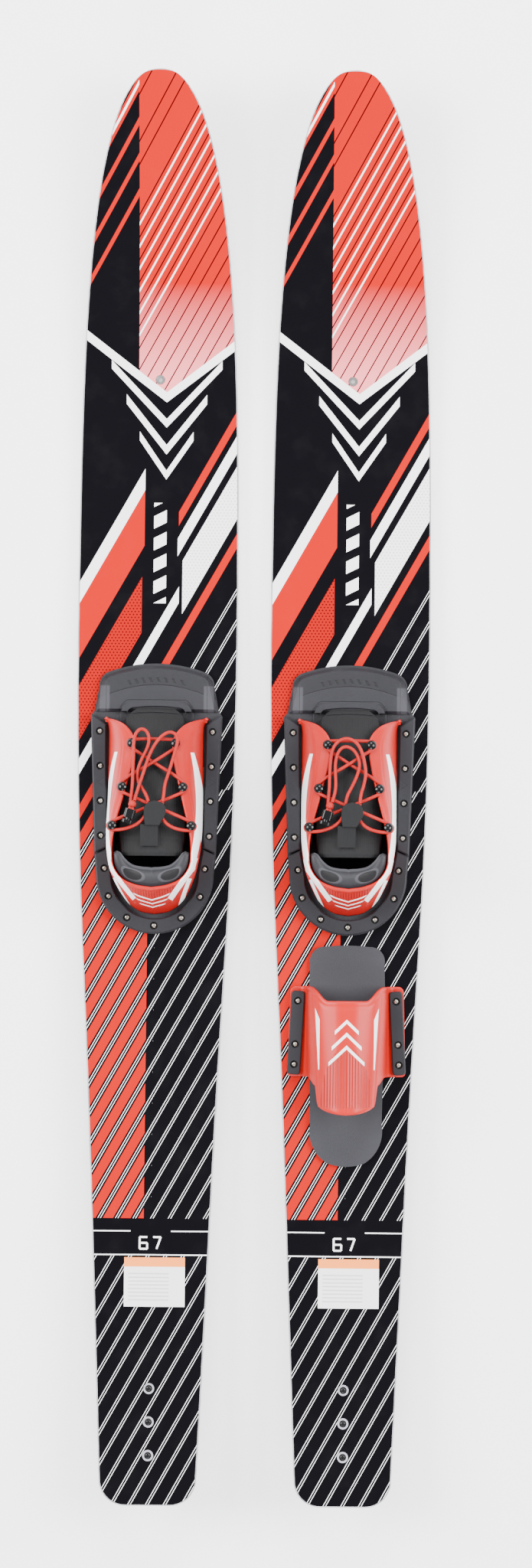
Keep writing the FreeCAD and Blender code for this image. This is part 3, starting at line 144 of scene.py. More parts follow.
def meshed(thing):
    """The same piece as a plain mesh."""
    solved = bpy.context.evaluated_depsgraph_get()
    shape = bpy.data.meshes.new_from_object(thing.evaluated_get(solved))
    shape.name = thing.name
    made = bpy.data.objects.new(thing.name + "_mesh", shape)
    name = thing.name
    bpy.data.objects.remove(thing)
    made.name = name
    bpy.context.collection.objects.link(made)
    return made


# ------------------------------------------------------------------ pieces made by nodes


class Tree:
    """A node tree for geometry with named inputs, built link by link."""

    def __init__(self, name, inputs):
        self.group = bpy.data.node_groups.new(name, "GeometryNodeTree")
        face = self.group.interface
        face.new_socket("Geometry", in_out="INPUT", socket_type="NodeSocketGeometry")
        for label, kind in inputs:
            face.new_socket(label, in_out="INPUT", socket_type=kind)
        face.new_socket("Geometry", in_out="OUTPUT", socket_type="NodeSocketGeometry")
        self.start = self.node("NodeGroupInput")

    def node(self, kind, links=(), **settings):
        """A node with some inputs linked or set, given as (input, output socket or number)."""
        made = self.group.nodes.new(kind)
        for key, value in settings.items():
            setattr(made, key, value)
        for slot, item in links:
            if isinstance(item, bpy.types.NodeSocket):
                self.group.links.new(item, made.inputs[slot])
            else:
                made.inputs[slot].default_value = item
        return made

    def close(self, shape):
        """End with plain geometry in one material."""
        real = self.node("GeometryNodeRealizeInstances", [(0, shape)])
        finish = self.start.outputs["Material"]
        dressed = self.node("GeometryNodeSetMaterial", [("Geometry", real.outputs[0]), ("Material", finish)])
        self.node("NodeGroupOutput", [(0, dressed.outputs[0])])

    def run(self, thing, **values):
        """Run the tree on an object and keep its result as a plain mesh."""
        step = thing.modifiers.new("shape", "NODES")
        step.node_group = self.group
        for item in self.group.interface.items_tree:
            label = item.name.replace(" ", "_").lower()
            if item.in_out == "INPUT" and label in values:
                step[item.identifier] = values[label]
        bpy.context.view_layer.update()
        return meshed(thing)


def cord_tree():
    """A round cord swept along another object's curve."""
    tree = Tree("swept_cord", [
        ("Path", "NodeSocketObject"), ("Radius", "NodeSocketFloat"), ("Sides", "NodeSocketInt"),
        ("Material", "NodeSocketMaterial"),
    ])
    start = tree.start.outputs
    path = tree.node("GeometryNodeObjectInfo", [("Object", start["Path"])], transform_space="ORIGINAL")
    ring = tree.node(
        "GeometryNodeCurvePrimitiveCircle",
        [("Resolution", start["Sides"]), ("Radius", start["Radius"])],
    )
    sweep = tree.node(
        "GeometryNodeCurveToMesh",
        [("Curve", path.outputs["Geometry"]), ("Profile Curve", ring.outputs["Curve"]), ("Fill Caps", True)],
    )
    smooth = tree.node("GeometryNodeSetShadeSmooth", [("Geometry", sweep.outputs[0])])
    tree.close(smooth.outputs[0])
    return tree


def stitch_tree():
    """A row of short stitches laid along a line of edges."""
    tree = Tree("stitch_row", [
        ("Stitch Count", "NodeSocketInt"), ("Stitch Length", "NodeSocketFloat"),
        ("Thread", "NodeSocketFloat"), ("Material", "NodeSocketMaterial"),
    ])
    start = tree.start.outputs
    line = tree.node("GeometryNodeMeshToCurve", [(0, start["Geometry"])])
    spots = tree.node(
        "GeometryNodeResampleCurve",
        [("Curve", line.outputs[0]), ("Count", start["Stitch Count"])],
    )
    along = tree.node("GeometryNodeInputTangent")
    turn = tree.node("FunctionNodeAlignRotationToVector", [("Vector", along.outputs[0])], axis="Z")
    stitch = tree.node(
        "GeometryNodeMeshCylinder",
        [("Vertices", 8), ("Radius", start["Thread"]), ("Depth", start["Stitch Length"])],
    )
    row = tree.node(
        "GeometryNodeInstanceOnPoints",
        [("Points", spots.outputs[0]), ("Instance", stitch.outputs["Mesh"]), ("Rotation", turn.outputs[0])],
    )
    tree.close(row.outputs[0])
    return tree


def line_object(name, points):
    """A mesh of bare points, joined in a line."""
    mesh = bpy.data.meshes.new(name)
    mesh.from_pydata(points, [(n, n + 1) for n in range(len(points) - 1)], [])
    made = bpy.data.objects.new(name, mesh)
    bpy.context.collection.objects.link(made)
    return made


# ------------------------------------------------------------------ materials


class Value:
    """A number in a material, so that sums and products read as a formula."""

    def __init__(self, paint, socket):
        self.paint, self.socket = paint, socket

    def do(self, kind, *others, clamp=False):
        node = self.paint.node("ShaderNodeMath", operation=kind, use_clamp=clamp)
        for slot, item in zip(node.inputs, (self, *others)):
            self.paint.feed(slot, item)
        return Value(self.paint, node.outputs[0])

    def __add__(self, other):
        return self.do("ADD", other)

    def __sub__(self, other):
        return self.do("SUBTRACT", other)

    def __mul__(self, other):
        return self.do("MULTIPLY", other)

    def __truediv__(self, other):
        return self.do("DIVIDE", other)

    def __rsub__(self, other):
        return self * -1.0 + other

    def __rtruediv__(self, other):
        return self.do("POWER", -1.0) * other

    __radd__, __rmul__ = __add__, __mul__

    def __abs__(self):
        return self.do("ABSOLUTE")

    def above(self, level, soft=0.25):
        """1 above a level and 0 below it, with a soft edge."""
        return ((self - level) / soft + 0.5).do("ADD", 0.0, clamp=True)

    def below(self, level, soft=0.25):
        return ((level - self) / soft + 0.5).do("ADD", 0.0, clamp=True)

    def within(self, low, high, soft=0.25):
        """1 between two levels, 0 outside them."""
        return self.above(low, soft) * self.below(high, soft)

    def repeat(self, pitch):
        """The distance past the last whole pitch."""
        return (self / pitch).do("FRACT") * pitch

    def either(self, other):
        return self.do("MAXIMUM", other)


class Paint:
    """A material and the values that its formulas start from."""

    def __init__(self, name, rough=0.5, metal=0.0, coat=0.0):
        self.material = bpy.data.materials.new(name)
        self.material.use_nodes = True
        self.tree = self.material.node_tree
        self.tree.nodes.clear()
        self.out = self.node("ShaderNodeOutputMaterial")
        self.skin = self.node("ShaderNodeBsdfPrincipled")
        self.tree.links.new(self.skin.outputs[0], self.out.inputs[0])
        self.set("Roughness", rough)
        self.set("Metallic", metal)
        self.set("Coat Weight", coat)
        self.set("Specular IOR Level", 0.5 if metal else 0.27)
        split = self.node("ShaderNodeSeparateXYZ")
        self.place = self.node("ShaderNodeTexCoord").outputs["Object"]
        self.tree.links.new(self.place, split.inputs[0])
        self.x, self.y, self.z = (Value(self, socket) * 1000.0 for socket in split.outputs)

    def node(self, kind, **settings):
        made = self.tree.nodes.new(kind)
        for key, value in settings.items():
            setattr(made, key, value)
        return made

    def feed(self, slot, item):
        if isinstance(item, Value):
            self.tree.links.new(item.socket, slot)
        elif isinstance(item, bpy.types.NodeSocket):
            self.tree.links.new(item, slot)
        elif isinstance(item, tuple):
            slot.default_value = (*item, 1.0)
        else:
            slot.default_value = item

    def set(self, name, item):
        self.feed(self.skin.inputs[name], item)

    def mix(self, share, first, second):
        """A colour between two, by a share."""
        node = self.node("ShaderNodeMix", data_type="RGBA")
        self.feed(node.inputs[0], share)
        self.feed(node.inputs[6], first)
        self.feed(node.inputs[7], second)
        return node.outputs[2]

    def noise(self, scale, detail=2.0, stretch=(1.0, 1.0, 1.0)):
        """Soft noise from 0 to 1 whose grains are 1/scale metres across."""
        spread = self.node("ShaderNodeMapping")
        spread.inputs["Scale"].default_value = stretch
        self.tree.links.new(self.place, spread.inputs["Vector"])
        node = self.node("ShaderNodeTexNoise")
        self.tree.links.new(spread.outputs[0], node.inputs["Vector"])
        node.inputs["Scale"].default_value = scale
        node.inputs["Detail"].default_value = detail
        return Value(self, node.outputs[0])

    def bump(self, height, strength=0.4, depth=0.0006):
        node = self.node("ShaderNodeBump")
        node.inputs["Strength"].default_value = strength
        node.inputs["Distance"].default_value = depth
        self.feed(node.inputs["Height"], height)
        self.tree.links.new(node.outputs[0], self.skin.inputs["Normal"])

    def attribute(self, name):
        node = self.node("ShaderNodeAttribute", attribute_name=name)
        return Value(self, node.outputs["Fac"])


RED = (0.34, 0.003, 0.002)
CORAL = (0.42, 0.004, 0.002)
PINK = (0.86, 0.22, 0.24)
BLACK = (0.0018, 0.0016, 0.0028)
WHITE = (0.93, 0.93, 0.94)
DARK_RED = (0.022, 0.001, 0.0015)


def mottled(name, colour, rough, grain, strength, coat=0.0):
    """A plain moulded or spun finish: its colour and shine vary a little and its skin has a grain."""
    paint = Paint(name, rough, 0.0, coat)
    wide, fine = paint.noise(14.0, 3.0), paint.noise(grain, 2.0)
    lighter = tuple(c * 1.18 + 0.004 for c in colour)
    darker = tuple(c * 0.82 for c in colour)
    paint.set("Base Color", paint.mix(wide * 0.7 + fine * 0.3, darker, lighter))
    paint.set("Roughness", (wide - 0.5) * 0.16 + (fine - 0.5) * 0.10 + rough)
    paint.bump(fine, strength, 0.0003)
    return paint.material


PRINT_SLANT = 0.5658
PRINT_SHIFT = 1.3
PAIR_PITCH = 20.84
FIGURE_MIDDLE = 8.0


def deck_print(side):
    """The printed deck: red and black fields crossed by slanting stripes, with chevrons ahead."""
    paint = Paint(side + "_deck_print", 0.18, 0.0, 0.08)
    paint.set("Specular IOR Level", 0.12)
    x = paint.x - SIDES[side]
    y = paint.y + PRINT_SHIFT
    slant = x - y * PRINT_SLANT

    # front field: black strip with red slants at the left, red fading to pink at the right
    fade = ((603.0 - y) / 109.0).do("ADD", 0.0, clamp=True)
    red = paint.mix(fade, CORAL, PINK)
    for place in (-487.8, -458.2, -443.4):
        red = paint.mix(abs(slant - place).below(0.75), red, DARK_RED)
    dark = abs((slant + 418.2).repeat(14.65) - 7.3).below(0.75)
    red = paint.mix(dark * slant.above(-415.0), red, DARK_RED)
    pale = abs((slant + 412.1).repeat(14.65) - 7.3).below(1.1)
    red = paint.mix(pale * slant.within(-408.0, -328.0), red, WHITE)
    strip = abs((slant + 482.7).repeat(22.85) - 11.4).below(2.7) * slant.within(-480.0, -420.0)
    black = paint.mix(strip, BLACK, CORAL)
    black = paint.mix(slant.within(-500.0, -490.0), black, CORAL)
    black = paint.mix(slant.within(-497.0, -494.0), black, WHITE)
    front = paint.mix(x.above(-25.2), black, red)

    # middle field: slanting bands on black
    middle = BLACK
    bands = [
        (-233.5, -219.0, WHITE, -95.0, -17.0),
        (-219.0, -181.5, CORAL, -95.0, -17.0),
        (-163.0, -125.0, RED, -95.0, -19.5),
        (-112.5, -101.5, WHITE, -95.0, 24.5),
        (-147.0, -135.0, WHITE, 22.5, 110.0),
        (-126.0, -90.0, WHITE, 28.5, 110.0),
        (-80.0, -70.0, CORAL, -95.0, 110.0),
        (-164.0, -154.5, CORAL, 23.5, 110.0),
    ]
    for low, high, tone, start, stop in bands:
        middle = paint.mix(slant.within(low, high) * x.within(start, stop), middle, tone)
    row = y.repeat(3.5) - 1.75
    cell = (x + (y / 3.5).do("FLOOR") * 2.1).repeat(4.2) - 2.1
    dot = (row * row + cell * cell).below(0.9, 0.8)
    middle = paint.mix(dot * slant.within(-163.0, -125.0) * x.below(-19.5) * 0.75, middle, DARK_RED)
    middle = paint.mix(dot * slant.within(-126.0, -90.0) * x.above(28.5) * 0.5, middle, (0.2, 0.2, 0.25))
    pair = abs((slant + 9.32).repeat(PAIR_PITCH) - PAIR_PITCH / 2)
    middle = paint.mix(abs(pair - 1.45).below(0.35) * slant.above(-45.0), middle, WHITE)

    # back field: red at the left and black at the right, crossed by pairs of thin white lines
    pair = (slant + 10.0).repeat(PAIR_PITCH)
    lines = abs(abs(pair - 7.3) - 1.56).below(0.38)
    field = paint.mix(abs(pair - 7.3).below(4.3), CORAL, BLACK)
    back = paint.mix(x.below(-8.5), BLACK, field)
    back = paint.mix(lines, back, WHITE)

    behind = (x.above(0.0) * y.below(0.0)).either(x.below(0.0) * slant.above(-60.0) * y.below(60.0))
    colour = paint.mix(behind, middle, back)
    figure = deck_chevrons(x, y).either(centre_blocks(x, y))
    ahead = (y - abs(x - FIGURE_MIDDLE) * 0.76).above(466.0)
    colour = paint.mix(ahead, colour, front)
    colour = paint.mix(figure, colour, WHITE)

    # tail: a black band between white lines with the size number, then a label of plain lines
    band = y.below(-509.0)
    tail = paint.mix(abs(y + 524.0).below(0.7) * abs(x).above(24.0), BLACK, WHITE)
    tail = paint.mix(abs(y + 552.0).below(0.7), tail, WHITE)
    tail = paint.mix(number_shape(x, y), tail, WHITE)
    tail = paint.mix(y.below(-553.0), tail, paint.mix(lines, BLACK, WHITE))
    label = x.within(-31.0, 41.0) * y.within(-613.0, -555.0)
    words = paint.mix(y.above(-566.0), (0.86, 0.86, 0.86), (0.95, 0.28, 0.06))
    rows = (y.repeat(4.4) - 2.2).within(-0.8, 0.8) * x.within(-26.0, 22.0) * y.within(-608.0, -571.0)
    words = paint.mix(rows * 0.45, words, (0.2, 0.2, 0.22))
    tail = paint.mix(label, tail, words)
    colour = paint.mix(band, colour, tail)

    scuff = paint.noise(35.0, 4.0)
    paint.set("Base Color", paint.mix((scuff - 0.52) * 0.02, colour, (0.3, 0.28, 0.3)))
    paint.set("Roughness", (scuff - 0.5) * 0.14 + 0.2)
    paint.bump(paint.noise(160.0, 2.0), 0.05, 0.0002)
    return paint.material


def segment(x, y, first, second, half):
    """1 inside a straight bar between two places."""
    (ax, ay), (bx, by) = first, second
    long = math.hypot(bx - ax, by - ay)
    ux, uy = (bx - ax) / long, (by - ay) / long
    along = (x - ax) * ux + (y - ay) * uy
    across = (x - ax) * uy - (y - ay) * ux
    return along.within(0.0, long) * abs(across).below(half)


def union(shapes):
    """1 where any of some shapes is."""
    found, *others = shapes
    for shape in others:
        found = found.either(shape)
    return found


def deck_chevrons(x, y):
    """Nested chevrons that point to the tail, under a wide one that closes the red field."""
    reach = abs(x - FIGURE_MIDDLE)
    sizes = (
        (462.0, 120.0, 9.5, 0.76), (432.0, 66.0, 7.0, 1.05),
        (400.0, 48.0, 7.0, 1.25), (370.0, 32.0, 6.0, 1.45),
    )
    return union(
        (y - reach * rise - apex).within(0.0, thick * math.hypot(1, rise)) * reach.below(arm)
        for apex, arm, thick, rise in sizes
    )


def centre_blocks(x, y):
    """A column of plain slanted blocks down the black centre."""
    step = (y - 210.0 - x * 0.5).repeat(26.0)
    return step.within(0.0, 15.0) * x.within(-6.0, 9.0) * y.within(222.0, 342.0)


def number_shape(x, y):
    """The ski's length in inches, six and seven, in plain rounded bars."""
    bars = [
        ((-13.0, -531.0), (-13.0, -545.0), 1.1), ((-13.0, -545.0), (-4.0, -545.0), 1.1),
        ((-4.0, -545.0), (-4.0, -538.0), 1.1), ((-13.0, -538.0), (-4.0, -538.0), 1.1),
        ((-13.0, -531.0), (-4.0, -531.0), 1.1), ((3.0, -531.0), (12.0, -531.0), 1.1),
        ((12.0, -531.0), (7.0, -545.0), 1.1),
    ]
    return union(segment(x, y, *bar) for bar in bars)


# ------------------------------------------------------------------ the soft binding

UPPER_STATIONS = [
    (62.5, 83.0, 60.5, 82.8, 30.0, 0.35, 0.85), (58.2, 79.0, 48.5, 81.0, 48.0, 0.30, 0.90),
    (56.8, 69.0, 33.5, 73.5, 66.0, 0.32, 0.92), (56.8, 54.0, 22.5, 56.0, 79.0, 0.34, 0.94),
    (56.8, 28.0, 25.0, 27.0, 87.5, 0.34, 0.95), (56.8, 1.0, 31.0, 1.0, 94.0, 0.34, 0.95),
    (56.6, -26.0, 37.5, -25.0, 100.5, 0.26, 0.96), (55.8, -52.0, 43.5, -49.0, 106.0, 0.20, 0.97),
    (53.4, -78.0, 47.5, -72.0, 107.5, 0.30, 0.90), (47.0, -106.0, 46.5, -92.0, 106.0, 0.50, 0.78),
    (35.0, -131.0, 36.0, -107.5, 104.5, 0.55, 0.74), (18.5, -145.0, 19.0, -115.5, 104.0, 0.55, 0.72),
    (0.0, -149.0, 0.0, -118.5, 104.0, 0.55, 0.72),
]
UPPER_THICK, UPPER_BULGE, UPPER_FOOT = 3.6, 2.6, 21.0
UPPER_GRID = (70, 44)
TONGUE_STATIONS = [
    (96.0, 49.0, 22.0), (86.0, 56.5, 34.0), (70.0, 66.0, 36.0), (45.0, 76.5, 34.0), (18.0, 84.0, 35.0),
    (-8.0, 90.5, 38.0), (-34.0, 97.0, 40.0), (-56.0, 101.8, 40.0), (-80.0, 105.6, 36.5),
]
TONGUE_DROP = 0.0085
INSIDE = Vector((0, -20, 50))


def eased(values, place):
    """A smooth value between numbers in a row, at a place counted in their spacing."""
    last = len(values) - 1
    n = min(int(place), last - 1)
    t = place - n
    a, b = values[n], values[n + 1]
    before = values[n - 1] if n else 2 * a - b
    after = values[n + 2] if n + 2 <= last else 2 * b - a
    return a + t * (b - before) / 2 + t * t * (2 * before - 5 * a + 4 * b - after) / 2 \
        + t ** 3 * (3 * a - before - 3 * b + after) / 2


def smooth_rows(rows, count):
    """Rows of numbers turned into more rows that run smoothly through them."""
    last = len(rows) - 1
    columns = list(zip(*rows))
    return [[eased(column, last * n / (count - 1)) for column in columns] for n in range(count)]


def upper_skin(along, around):
    """The outside of the upper, as a grid of points from its right front corner round to the left."""
    half = smooth_rows(UPPER_STATIONS, along)
    grid = []
    for sign, rows in ((1, half), (-1, half[-2::-1])):
        for foot_x, foot_y, edge_x, edge_y, edge_z, inward, upward in rows:
            foot, edge = Vector((foot_x, foot_y, UPPER_FOOT)), Vector((edge_x, edge_y, edge_z))
            turn = Vector((foot.x + (edge.x - foot.x) * inward, foot.y + (edge.y - foot.y) * inward,
                           foot.z + (edge.z - foot.z) * upward))
            outward = Vector((foot.x, min(foot.y + 60, 0), 0))
            outward.normalize()
            row = []
            for n in range(around):
                t = n / (around - 1)
                point = foot * (1 - t) ** 2 + turn * (2 * t * (1 - t)) + edge * t * t
                point += outward * UPPER_BULGE * min(1.0, (edge_z - UPPER_FOOT) / 60) * math.sin(math.pi * t)
                row.append(Vector((sign * point.x, point.y, point.z)))
            grid.append(row)
    return grid


def grid_normals(grid, towards):
    """The direction square to a grid of points at each of them, on the side of a place."""
    rows, columns = len(grid), len(grid[0])
    out = []
    for i in range(rows):
        line = []
        for j in range(columns):
            a = grid[min(i + 1, rows - 1)][j] - grid[max(i - 1, 0)][j]
            b = grid[i][min(j + 1, columns - 1)] - grid[i][max(j - 1, 0)]
            line.append(a.cross(b).normalized())
        out.append(line)
    middle = grid[rows // 2][columns // 2]
    if out[rows // 2][columns // 2].dot(towards - middle) < 0:
        out = [[-v for v in line] for line in out]
    return out


def shell(name, side, outer, inner):
    """A closed skin between two grids of points, which carries its shares along, around and inside."""
    rows, columns = len(outer), len(outer[0])
    points = [p for row in outer for p in row] + [p for row in inner for p in row]
    half = rows * columns
    faces = []
    for i in range(rows - 1):
        for j in range(columns - 1):
            a, b = i * columns + j, (i + 1) * columns + j
            c, d = b + 1, a + 1
            faces += [(a, b, c, d), (half + d, half + c, half + b, half + a)]
    for j in range(columns - 1):
        a, b = j, j + 1
        faces.append((a, b, half + b, half + a))
        a, b = (rows - 1) * columns + j, (rows - 1) * columns + j + 1
        faces.append((b, a, half + a, half + b))
    for i in range(rows - 1):
        a, b = i * columns, (i + 1) * columns
        faces.append((b, a, half + a, half + b))
        a, b = a + columns - 1, b + columns - 1
        faces.append((a, b, half + b, half + a))
    mesh = bpy.data.meshes.new(name)
    mesh.from_pydata([world(side, p) for p in points], [], faces)
    shares = {
        "along": [n % half // columns / (rows - 1) for n in range(2 * half)],
        "around": [n % half % columns / (columns - 1) for n in range(2 * half)],
        "inside": [float(n >= half) for n in range(2 * half)],
    }
    for label, values in shares.items():
        mesh.attributes.new(label, "FLOAT", "POINT").data.foreach_set("value", values)
    work = bmesh.new()
    work.from_mesh(mesh)
    bmesh.ops.recalc_face_normals(work, faces=work.faces)
    work.to_mesh(mesh)
    work.free()
    mesh.polygons.foreach_set("use_smooth", [True] * len(mesh.polygons))
    made = bpy.data.objects.new(name, mesh)
    bpy.context.collection.objects.link(made)
    return made


def bump_out(grid, normals, amount):
    """A grid moved along its normals by amount(row share, column share, point)."""
    rows, columns = len(grid), len(grid[0])
    return [
        [p + n * amount(i / (rows - 1), j / (columns - 1), p) for j, (p, n) in enumerate(zip(row, line))]
        for i, (row, line) in enumerate(zip(grid, normals))
    ]


def ramp(value, low, high):
    t = max(0.0, min(1.0, (value - low) / (high - low)))
    return t * t * (3 - 2 * t)


def hump(value, middle, half):
    """A smooth rise and fall about a middle."""
    t = abs(value - middle) / half
    return 0.0 if t >= 1 else (1 - t * t) ** 2


def upper_relief(along, around, point):
    """How far the upper's outside is drawn in from its plain shape: a raised rim, pressed panels."""
    depth = -0.7 * hump(around, 0.955, 0.05)
    side = min(along, 1 - along)
    depth += 0.5 * hump(side, 0.155, 0.035) * hump(around, 0.86, 0.1)
    depth += 0.5 * hump(side, 0.255, 0.03) * hump(around, 0.84, 0.1)
    wave = hump(around, 0.60 + 0.1 * math.sin(side * 9), 0.03)
    depth += 0.35 * wave * ramp(side, 0.08, 0.14) * ramp(0.46 - side, 0, 0.06)
    return depth


def make_upper(side):
    outer = upper_skin(*UPPER_GRID)
    normals = grid_normals(outer, INSIDE)
    shaped = bump_out(outer, normals, upper_relief)
    inner = bump_out(outer, normals, lambda a, b, p: UPPER_THICK - 1.0 * ramp(b, 0.9, 1.0))
    for row in inner:
        for point in row:
            point.z = max(point.z, UPPER_FOOT)
    return shell(side + "_soft_upper", side, shaped, inner)


def tongue_skin(along, across):
    grid = []
    for y, z, half in smooth_rows(TONGUE_STATIONS, along):
        grid.append([Vector((half * t, y, z - TONGUE_DROP * (half * t) ** 2))
                     for t in (n / (across - 1) * 2 - 1 for n in range(across))])
    return grid


def tongue_relief(along, across, point):
    """How far the tongue's outside is drawn in: fine ribs, a sewn arc ahead and a groove behind."""
    ribs = 0.22 * (0.5 + 0.5 * math.cos(point.x * 2 * math.pi / 2.4)) * ramp(along, 0.10, 0.14)
    seam = 0.5 * hump(along, 0.075 + 0.02 * (across * 2 - 1) ** 2, 0.018)
    cross = 0.4 * hump(along, 0.90, 0.012)
    return ribs + seam + cross


TONGUE_ROWS, TONGUE_COLUMNS = 150, 130
TONGUE_THICK, TONGUE_ROUND = 4.0, 1.6


def make_tongue(side):
    outer = tongue_skin(TONGUE_ROWS, TONGUE_COLUMNS)
    normals = grid_normals(outer, INSIDE)

    def edge(along, across):
        return 1 - ramp(min(along, 1 - along), 0, 0.025) * ramp(min(across, 1 - across), 0, 0.03)

    shaped = bump_out(outer, normals, lambda a, b, p: tongue_relief(a, b, p) + TONGUE_ROUND * edge(a, b))
    inner = bump_out(outer, normals, lambda a, b, p: TONGUE_THICK - TONGUE_ROUND * edge(a, b))
    return shell(side + "_padded_tongue", side, shaped, inner)


def stitch_line():
    """The seam across the front of the tongue, just above its skin."""
    grid = tongue_skin(TONGUE_ROWS, TONGUE_COLUMNS)
    normals = grid_normals(grid, INSIDE)
    points = []
    for n in range(10, TONGUE_COLUMNS - 10, 2):
        across = 2 * n / (TONGUE_COLUMNS - 1) - 1
        row = round((TONGUE_ROWS - 1) * (0.075 + 0.02 * across ** 2))
        points.append(grid[row][n] - normals[row][n] * 0.25)
    return points


def make_heel_pad(side):
    """The moulded pad behind the heel: a block that hugs the upper, with a rounded top edge."""
    skin = upper_skin(*UPPER_GRID)
    start, stop = 47, 92
    against = [row[4:42] for row in skin[start:stop]]
    normals = grid_normals(against, INSIDE)
    against = bump_out(against, normals, lambda a, b, p: UPPER_THICK + 1.6)
    inner = []
    rows, columns = len(against), len(against[0])
    for i, row in enumerate(against):
        share = i / (rows - 1)
        deep = 5 + 18 * math.sin(math.pi * share) ** 0.55
        line = []
        for j, point in enumerate(row):
            t = j / (columns - 1)
            inward = Vector((-point.x, -60 - point.y, 0)).normalized()
            lip = ramp(t, 0.93, 1.0)
            line.append(point + inward * (deep - 1.0 * lip))
        inner.append(line)
    return shell(side + "_soft_heel_pad", side, against, inner)


REAR_FRONT = [(49.6, -1.0), (48.8, 10.0), (45.0, 28.0), (33.0, 45.0), (15.0, 52.5), (0.0, 54.5)]
REAR_BACK = [(49.6, -1.0), (47.5, 10.0), (41.5, 28.0), (31.0, 48.0), (15.0, 62.0), (0.0, 66.0)]
DECK, STRAP_THICK = 18.0, 4.0
STRAP_START, STRAP_REACH = -225.0, 163.0
FLUTE_PITCH = 3.1
STRAP_FLUTE_PITCH = 3.3
FAN_BACK, FAN_LONG, FAN_HALF = -367.0, 65.0, 30.0


def rounded_corner(side):
    """How far the wings' corners are drawn in at a place across the strap."""
    return 6.0 - math.sqrt(max(0.0, 36.0 - max(0.0, side - 63.0) ** 2)) if side < 69.0 else 6.0


def rear_front_edge(x):
    """The dipped front edge of the rear strap: the place along the ski at a place across it."""
    return -232.0 - 16.0 * ramp(46.0 - abs(x), 0.0, 23.0) - rounded_corner(abs(x) + 2.0)


def rear_back_edge(x):
    """The rear strap's back edge, with its round lip between the wings."""
    side = abs(x)
    if side > 36.5:
        return -339.0 - 9.0 * ramp(46.0 - side, 0.0, 9.5) + rounded_corner(side - 3.0)
    return -348.0 - 18.0 * ramp(36.5 - side, 0.0, 3.0) - 15.0 * math.sqrt(1 - (side / 36.5) ** 2)


def strap_half(edge, arch):
    """Half of the strap's section, from a wing's edge to the top of its arch."""
    wing = [(edge, 4.0), (60.0, 4.0), (53.6, 4.2)]
    return smooth_rows(wing + [(x, max(z, 6.0)) for x, z in arch[1:]], 110)


def make_rear_strap():
    """The rear strap in one skin: flat wings, an arch over the toes and a rounded lip."""
    grid = []
    half_front = strap_half(67.0, REAR_FRONT)
    half_back = strap_half(71.6, REAR_BACK)
    front = [(x, z) for x, z in half_front] + [(-x, z) for x, z in half_front[-2::-1]]
    back = [(x, z) for x, z in half_back] + [(-x, z) for x, z in half_back[-2::-1]]
    count = 90
    for n in range(count):
        share = n / (count - 1)
        row = []
        for (fx, fz), (bx, bz) in zip(front, back):
            y0, y1 = rear_front_edge(fx), rear_back_edge(bx)
            y = y0 + (y1 - y0) * share
            t = (STRAP_START - y) / STRAP_REACH
            x, z = fx + (bx - fx) * t, fz + (bz - fz) * t
            crease = hump(abs(x), 41.0 - 9.0 * share, 1.8) * ramp(share, 0.03, 0.12)
            z -= 0.8 * crease * (z > 8)
            row.append(Vector((x, y, DECK + z)))
        grid.append(row)
    normals = grid_normals(grid, Vector((0, -300, 20)))

    def relief(along, across, point):
        wide = FAN_HALF * math.sqrt(max(0.0, 1 - ((point.y - FAN_BACK) / FAN_LONG) ** 2))
        ribs = 0.5 + 0.5 * math.cos(point.x * 2 * math.pi / STRAP_FLUTE_PITCH)
        ribs *= ramp(wide - abs(point.x), 0, 2)
        ribs *= ramp(point.y + 372.0, 0, 2)
        rim = hump(along, 0.055, 0.03) * ramp(60 - abs(point.x), 0, 8)
        return 0.6 * ribs + 0.5 * rim + 0.8 * (1 - ramp(min(along, 1 - along), 0, 0.02))

    shaped = bump_out(grid, normals, relief)
    inner = bump_out(grid, normals, lambda a, b, p: STRAP_THICK - 0.4)
    for row in inner:
        for point in row:
            point.z = max(point.z, DECK + 0.15)
    return shell("rear_toe_strap", "right", shaped, inner)


# ------------------------------------------------------------------ finishes of the binding


